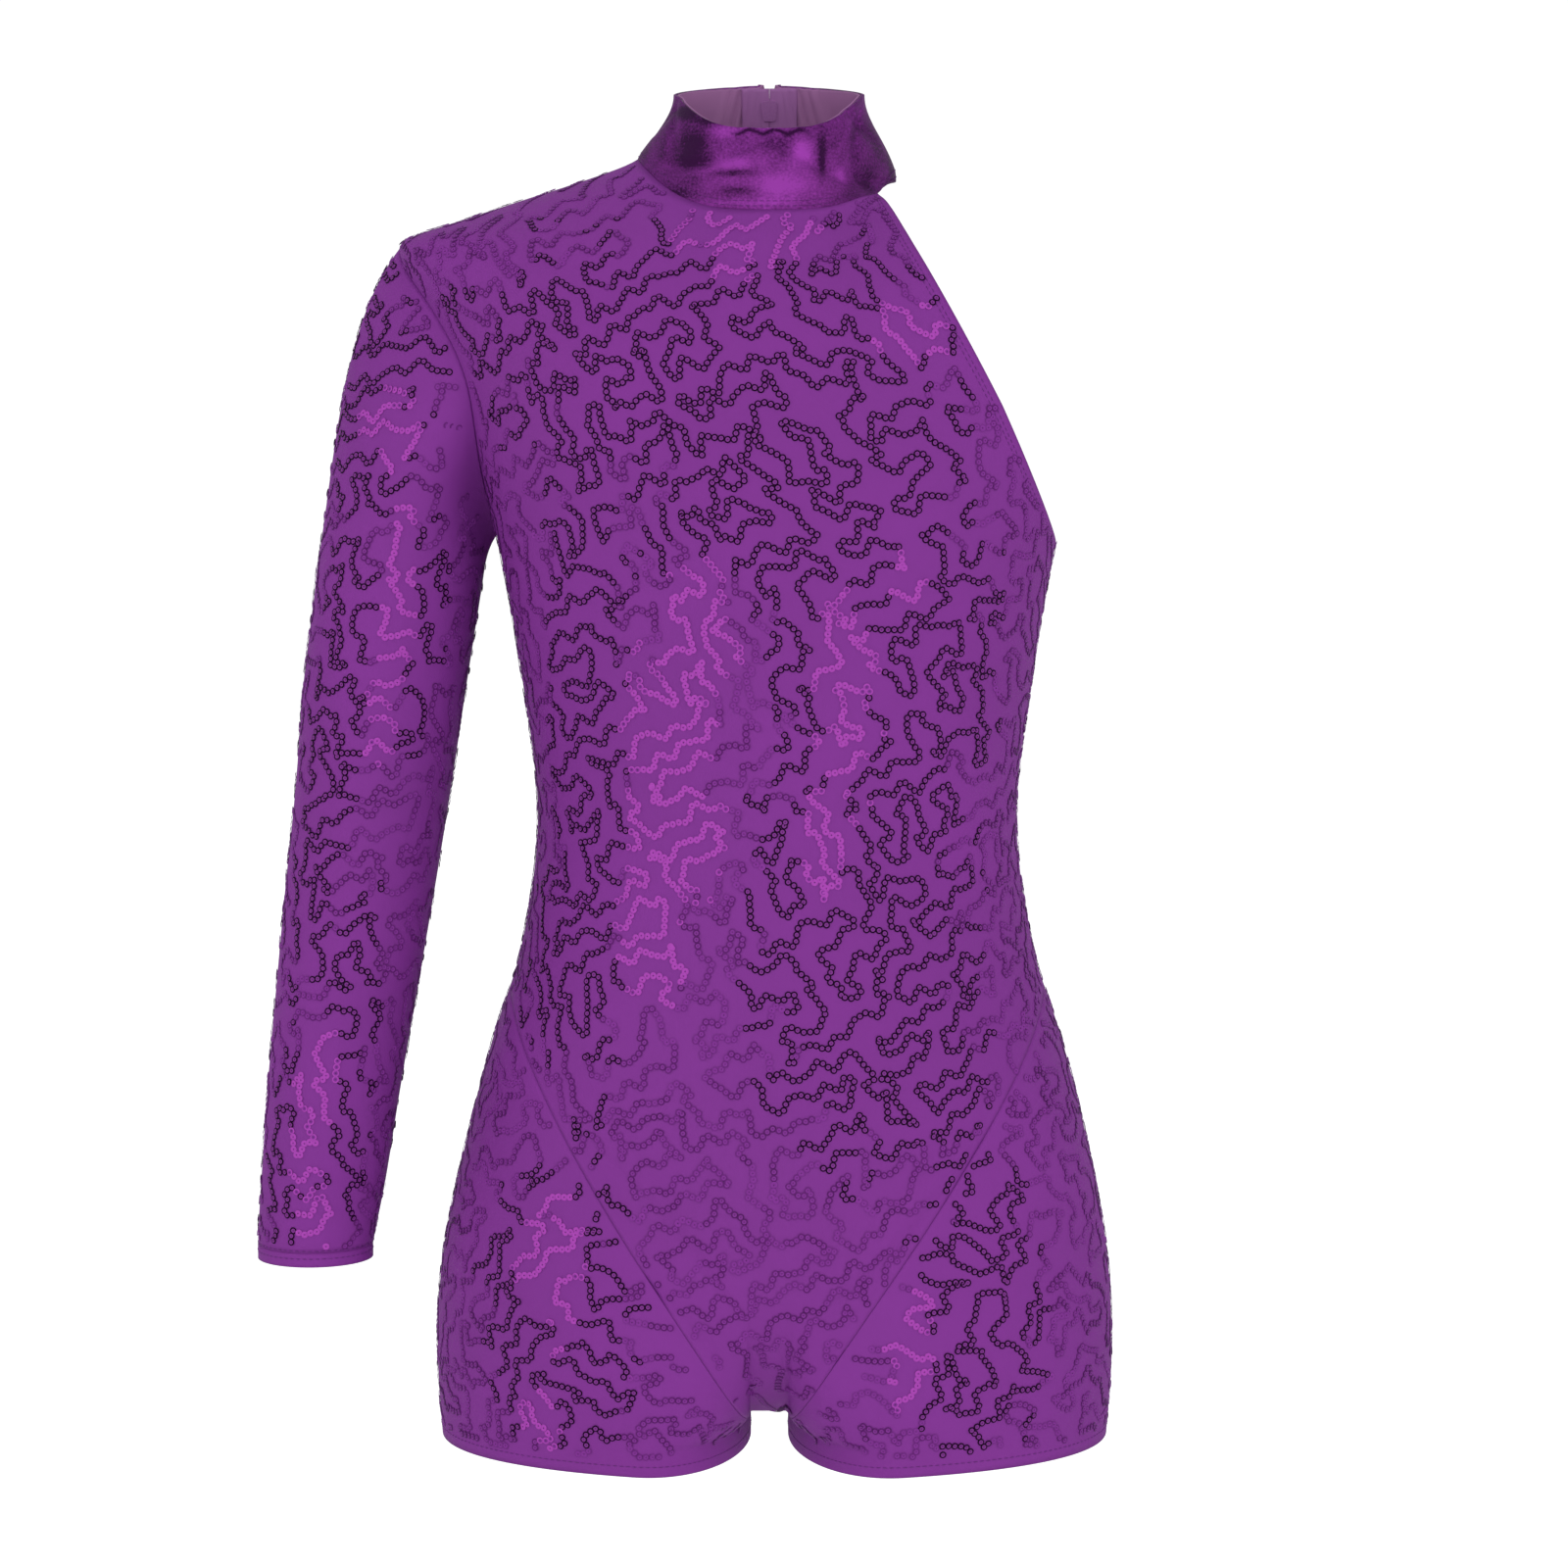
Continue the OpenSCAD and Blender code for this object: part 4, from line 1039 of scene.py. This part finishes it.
# Patches of painted flash and of rims painted dark on the front's sequins, as x, height, half width,
# half height and kind
FRONT_PAINTED_REFLECTIONS = [(-20, 462, 118, 56, "dark"), (48, 340, 46, 110, "dark"), (40, 225, 50, 105, "dark"),
               (-76, 300, 19, 160, "dark"), (-92, 215, 30, 48, "dark"), (-88, 60, 36, 70, "dark"),
               (84, 70, 30, 76, "dark"), (10, 398, 64, 44, "dark"), (66, 160, 26, 30, "dark"),
               (-8, 508, 30, 15, "flash"), (-38, 285, 20, 72, "flash"), (-46, 225, 16, 36, "flash"),
               (33, 325, 13, 50, "flash"), (-30, 345, 18, 34, "flash"), (57, 368, 10, 20, "flash"),
               (58, 470, 16, 12, "flash"), (-88, 88, 15, 34, "flash"), (58, 56, 11, 34, "flash"),
               (22, 262, 11, 24, "flash"), (-95, 20, 11, 14, "flash")]
# The same on the sleeve, with x from the arm's middle
SLEEVE_PAINTED_REFLECTIONS = [(-12, 440, 34, 60, "dark"), (-17, 300, 16, 120, "dark"), (-4, 130, 22, 60, "dark"),
                (6, 190, 12, 60, "dark"), (16, 340, 9, 60, "dark"), (4, 345, 8, 70, "flash"),
                (-2, 430, 14, 18, "flash"), (-6, 150, 10, 38, "flash"), (2, 92, 10, 18, "flash")]


def ripple(x, h, seed, size):
    """A smooth value from -1 to 1 that wanders over the cloth: four crossed sine waves."""
    rng = np.random.default_rng(seed)
    total = 0 * x
    for wave in range(4):
        turn, phase = rng.uniform(0, math.pi), rng.uniform(0, 2 * math.pi)
        total += np.sin((x * math.cos(turn) + h * math.sin(turn)) / (size * (1 + 0.35 * wave)) + phase)
    return total / 4


def share_of(tones, kind, x, h):
    """How far a place is inside any patch of one kind: 1 - (distance over the patch's size)^2."""
    inside = [1 - ((x - cx) / wide)**2 - ((h - ch) / high)**2 for cx, ch, wide, high, sort in tones
              if sort == kind]
    return np.max(inside, axis=0)


def painted_reflection_of(centre, normal, tones, middle, rng):
    """A painted reflection for each sequin: 0 for a rim painted dark, 0.36 to 0.56 for a faint one,
    0.74 for a painted bright one and 1 for a painted flash. The patches' x is counted from the middle."""
    x, h = centre[:, 0] - middle, centre[:, 2]
    runs = np.repeat(rng.uniform(-1, 1, len(x)), rng.integers(2, 9, len(x)))[:len(x)]
    loose = 0.35 * ripple(x, h, 5, 3.6) + 0.55 * runs + 0.05 * rng.uniform(-1, 1, len(x))
    seen = normal[:, 1] < 0.1
    dark = np.where(seen, share_of(tones, "dark", x, h), 0.35 + 1.4 * ripple(x, h, 7, 24.0))
    flash = np.where(seen, share_of(tones, "flash", x, h), -0.35 + 1.4 * ripple(x, h, 9, 20.0))
    side = clamp((np.abs(normal[:, 0]) - 0.72) * 4)
    value = np.where(dark + 0.8 * loose - side > dark_over, 0.0, 0.46 + 0.1 * np.roll(runs, 4))
    value = np.where(flash + 0.9 * loose - side > bright_over, 0.74, value)
    value = np.where(flash + 0.9 * loose - side > flash_over, 1.0, value)
    return np.clip(value + rng.uniform(-0.04, 0.04, len(x)), 0, 1)


def circle(a, b, sides):
    """Points round a circle of radius 1, with the unit vectors a and b as its axes."""
    theta = np.arange(sides) * 2 * math.pi / sides
    return a[..., None, :] * np.cos(theta)[:, None] + b[..., None, :] * np.sin(theta)[:, None]


def hoops(rows, sides):
    """Quads between one ring of points and the next, for rows of rings."""
    i, j = np.meshgrid(np.arange(rows - 1), np.arange(sides), indexing="ij")
    k = (j + 1) % sides
    return np.stack([i * sides + j, i * sides + k, (i + 1) * sides + k, (i + 1) * sides + j],
                    -1).reshape(-1, 4)


def sequins(name, places, tones, paint):
    """Every sequin of one chain in one mesh: three rings of points, at the edge, the rim's crease and
    the hole, in a plane that leans along the chain so that each lies on the next."""
    centre, along, normal = places
    rng = np.random.default_rng(len(centre))
    normal = unit(normal + rng.normal(0, 0.035, normal.shape))
    across = unit(np.cross(normal, along))
    lean = np.radians(shingle)
    fore = np.cross(across, normal) * math.cos(lean) + normal * math.sin(lean)
    face = np.cross(fore, across)
    ring = circle(fore, across, sequin_sides)
    middle = centre + stand_off * normal
    rings = [middle[:, None] + r * ring + up * face[:, None]
             for r, up in ((sequin_r, 0.0), (rim_r, rim_up), (hole_r, hole_up))]
    points = np.stack(rings, 1).reshape(-1, 3)
    each = 3 * sequin_sides * np.arange(len(centre))[:, None, None]
    piece = solid(name, points, (hoops(3, sequin_sides)[None] + each).reshape(-1, 4).tolist(), paint,
                  rounded=False)
    # The tone attribute holds each sequin's painted reflection: a painted flash or a rim painted dark.
    rims = np.tile(np.repeat([1.0, 0.0], sequin_sides), len(centre))
    for kind, values in (("tone", np.repeat(tones, 2 * sequin_sides)), ("rim", rims)):
        piece.data.attributes.new(kind, "FLOAT", "FACE").data.foreach_set("value", values)
    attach(piece, "garment")
    return piece


# Film colours by the painted reflection: rims go from painted dark through faint to a painted pink flash,
# and faces from near the knit's purple to the same painted flash.
rim_painted_dark, rim_painted_faint = (0.010, 0.0001, 0.014), (0.12, 0.016, 0.16)
face_dark, face_faint = (0.21, 0.038, 0.26), (0.22, 0.036, 0.29)
painted_flash_pink = (0.39, 0.062, 0.44)
film, tree, shader = new_paint("sequin_film")
painted_reflection_in = node(tree, "Attribute", attribute_name="tone")
rim_in = node(tree, "Attribute", attribute_name="rim")
ramps = []
for dark, faint in ((face_dark, face_faint), (rim_painted_dark, rim_painted_faint)):
    ramp = node(tree, "ValToRGB", [(painted_reflection_in.outputs["Fac"], "Fac")])
    stops = ramp.color_ramp.elements
    stops[0].position, stops[0].color = 0.12, (*dark, 1)
    stops[1].position, stops[1].color = 0.92, (*painted_flash_pink, 1)
    ringed = painted_flash_pink if dark == rim_painted_dark else faint
    for place, colour in ((0.42, faint), (0.58, face_faint), (0.68, ringed), (0.80, ringed)):
        stops.new(place).color = (*colour, 1)
    ramps.append(ramp)
film_mix = node(tree, "Mix", [(rim_in.outputs["Fac"], 0), (ramps[0].outputs["Color"], 6),
                              (ramps[1].outputs["Color"], 7)], data_type="RGBA")
tree.links.new(film_mix.outputs[2], shader.inputs["Base Color"])
tree.links.new(ranged(tree, speckle(tree, 700.0, 2.0), 0.3, 0.5), shader.inputs["Roughness"])
shader.inputs["Specular IOR Level"].default_value = 0.04

hem_clear = hem_d + 2.5
most_sequins = 4900
for seed, (name, (grid, flat)) in enumerate(panels.items(), 11):
    lowest = hem_clear if name.startswith("leg") else -100.0
    places = chain(grid, flat, seed, lambda p: p[:, 2] > lowest)
    on_arm = name == "sleeve_panel"
    tones = painted_reflection_of(places[0], places[2], SLEEVE_PAINTED_REFLECTIONS if on_arm else FRONT_PAINTED_REFLECTIONS,
                    spline(SLEEVE, places[0][:, 2], 1) if on_arm else 0, np.random.default_rng(seed))
    order = np.argsort(places[0][:, 2], kind="stable")
    pieces = [sequins("%s_%d" % (name.replace("panel", "sequins"), i + 1), [p[part] for p in places],
                      tones[part], film)
              for i, part in enumerate(np.array_split(order, 1 + len(order) // most_sequins))]

# ---- Stitching ----
# Polyester thread holds the turned edges down: one row round each leg, two at the cuff, at the
# collar's seam and along the bare armhole. Each stitch is a short thread that dips at its ends.
thread_r = 0.17
stitch_l, stitch_gap = 2.0, 0.75
thread_paint = cloth_paint("thread", (0.15, 0.02, 0.21), wale=3000.0, specular=0.3)
stitch_ring, stitch_rows = 5, 6
stitch_lift, stitch_sink, stitch_thin, stitch_end = 1.2, 0.4, 0.35, 0.08
hem_in, cuff_in, cuff_over = 0.8, 3.6, 0.9


def stitches(name, line, normal):
    """Stitches along a line on the cloth: each a row of rings whose radius and height go by a half
    sine, so that the thread swells out of the cloth between two needle holes."""
    step = np.linalg.norm(np.diff(line, axis=0), axis=1)
    run = np.concatenate([[0], step.cumsum()])
    start = np.arange(0, run[-1] - stitch_l, stitch_l + stitch_gap)
    share = np.linspace(0, 1, stitch_rows)
    at = start[:, None] + stitch_l * share[None]
    point = np.stack([np.interp(at, run, line[:, c]) for c in range(3)], -1)
    away = np.stack([np.interp(at, run, normal[:, c]) for c in range(3)], -1)
    along = unit(point[:, -1:] - point[:, :1])
    side = unit(np.cross(np.broadcast_to(along, away.shape), away))
    swell = np.sin(math.pi * mix(stitch_end, 1 - stitch_end, share))[None, :, None]
    centre = point + away * (thread_r * (stitch_lift * swell - stitch_sink))
    r = thread_r * (stitch_thin + (1 - stitch_thin) * swell[..., None])
    rings = centre[:, :, None] + r * circle(side, away, stitch_ring)
    base = stitch_rows * stitch_ring * np.arange(len(start))
    quads = hoops(stitch_rows, stitch_ring)[:, [0, 3, 2, 1]]
    ends = np.arange(stitch_ring)
    faces = (quads[None] + base[:, None, None]).reshape(-1, 4).tolist()
    faces += (ends[None] + base[:, None]).tolist()
    faces += (ends[::-1][None] + base[:, None] + (stitch_rows - 1) * stitch_ring).tolist()
    piece = solid(name, rings.reshape(-1, 3), faces, thread_paint)
    piece.data.uv_layers.new(name="pattern")
    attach(piece, "garment")
    return piece


def seam_row(name, grid, at):
    """A row of stitches at the row number at, which may lie between two rows of a grid."""
    columns = np.arange(grid.shape[1])
    place = np.stack([np.full(len(columns), at), columns], -1).astype(float)
    return stitches(name, on_grid(grid, place)[0], on_grid(outward(grid), place)[0])


for name, sg in (("left", 1), ("right", -1)):
    v, k, m, edge_h = leg_round(sg, 3)
    level = round_leg(sg, m, k, edge_h + hem_d - hem_in + hem_in * v)
    seam_row("leg_stitches_" + name, inset_ring(level, 0), 1.0)
s, v = grid_of(3, sleeve_cols + 1)
for row, level in (("low", cuff_ring(s, cuff_h + cuff_in + v)),
                   ("high", sleeve_ring((s + 0.5) % 1.0, cuff_h + cuff_l + cuff_over + v))):
    seam_row("cuff_stitches_" + row, inset_ring(level, 0), 0.0)
for row, up in (("low", 0.045), ("high", 0.105)):
    seam_row("collar_stitches_" + row, foil_grid, up * (collar_rows - 1))
for row, inset in (("outer", 3.2), ("inner", 4.9)):
    for name, sg in (("front", -1), ("back", 1)):
        strip = bare_strip(sg, inset, inset + 1, 0)
        seam_row("armhole_stitches_%s_%s" % (row, name), strip, strip.shape[0] - 1)

# ---- Back zip ----
# A number 3 coil zip along the centre of the back. Each woven tape carries a nylon coil, and the
# coils interlock below the slider. The tapes lie inside the fabric's edges and pucker a little.
tape_w, tape_in, tape_t = 12, 2.7, 0.6
tape_from = 0.04
zip_top_h = 578.2
coil_pitch, coil_wire = 1.35, 0.21
coil_mid, coil_half, coil_deep, coil_rise = 0.93, 0.82, 2.05, 0.37
coil_low_gap, coil_top_gap, coil_steps, coil_sides = 3, 2.4, 10, 6
pucker_deep, pucker_across, pucker_along, pucker_drift, drift_along = 0.35, 1.9, 4.6, 1.3, 9.0
roll_deep, roll_at, roll_wide = 0.35, 2.6, 0.7


def on_zip(x, h, depth):
    """A point at a depth inside the zip's arc: centre + (radius - depth) at the angle of the height h."""
    turn = np.arcsin((h - zip_arc_h) / zip_arc_r)
    r = zip_arc_r - depth
    return np.stack([x + 0 * h, zip_arc_y + r * np.cos(turn), zip_arc_h + r * np.sin(turn)], -1)


def gloss_paint(name, scale, detail, tones, roughness):
    """A paint whose colour and roughness wander between two tones and two values, by one noise."""
    paint, tree, shader = new_paint(name)
    spot = speckle(tree, scale, detail)
    coat = node(tree, "ValToRGB", [(spot, "Fac")])
    for stop, tone in zip(coat.color_ramp.elements, tones):
        stop.color = (*tone, 1)
    tree.links.new(coat.outputs["Color"], shader.inputs["Base Color"])
    tree.links.new(ranged(tree, spot, *roughness), shader.inputs["Roughness"])
    return paint, tree, shader, spot


def tube(name, path, radius, sides, paint, node_name):
    """A wire along a path: rings across it, turned by the path's direction and a fixed side."""
    along = unit(np.gradient(path, axis=0))
    side = unit(np.cross(along, np.array([0.31, 0.17, 0.93])))
    rings = path[:, None] + radius * circle(side, np.cross(along, side), sides)
    end = len(path) * sides
    caps = [list(range(sides))[::-1], list(range(end - sides, end))]
    piece = solid(name, rings.reshape(-1, 3), hoops(len(path), sides).tolist() + caps, paint)
    return fix(piece, node_name)


tape_paint = cloth_paint("zip_tape", (0.42, 0.17, 0.45), wale=1100.0, bump=0.0001)
coil_paint = gloss_paint("zip_coil", 420.0, 2.0, ((0.24, 0.07, 0.28), (0.38, 0.14, 0.42)), (0.25, 0.4))[0]
for name, sg in (("left", 1), ("right", -1)):
    s, v = grid_of(220, 16)
    across = mix(tape_from, tape_w, s if sg < 0 else 1 - s)
    height = mix(zip_low_h - 8, zip_top_h, v)
    drift = pucker_drift * np.sin(height / drift_along)
    wave = np.sin(pucker_across * across + height / pucker_along + drift)
    pucker = pucker_deep * smooth((across - 3) / 4) * wave
    roll = roll_deep * np.exp(-((across - roll_at) / roll_wide)**2)
    tape_grid = on_zip(sg * across, height, tape_in + 0.25 + pucker * 0.8 + roll)
    trim("tape_" + name, tape_grid, tape_t * 0.7, tape_paint, "zip_tape_" + name)
    turns = (zip_top_h - coil_top_gap - zip_low_h - coil_low_gap) / coil_pitch
    phi = np.linspace(0, 2 * math.pi * turns, int(turns * coil_steps)) + (0 if sg > 0 else math.pi)
    height = np.linspace(zip_low_h + coil_low_gap, zip_top_h - coil_top_gap, len(phi))
    wire = on_zip(sg * (coil_mid - coil_half * np.cos(phi)), height, coil_deep + coil_rise * np.sin(phi))
    tube("coil_" + name, wire, coil_wire, coil_sides, coil_paint, "zip_coil_" + name)

# ---- Slider, pull and stops ----
# Small zinc castings painted to match the cloth; the glossy paint's tone and roughness wander by a fine
# noise.
metal_paint, tree, shader, spot = gloss_paint("painted_zinc", 900.0, 4.0,
                                              ((0.33, 0.12, 0.36), (0.44, 0.19, 0.47)), (0.22, 0.42))
orange_peel = node(tree, "Bump", [(spot, "Height")], dict(Strength=0.3, Distance=0.00005))
tree.links.new(orange_peel.outputs["Normal"], shader.inputs["Normal"])
shader.inputs["Metallic"].default_value = 0.2
for name in ("zip_slider", "pull_tab", "zip_top_stops", "zip_bottom_stop"):
    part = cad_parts[name]
    part.data.materials.clear()
    part.data.materials.append(metal_paint)
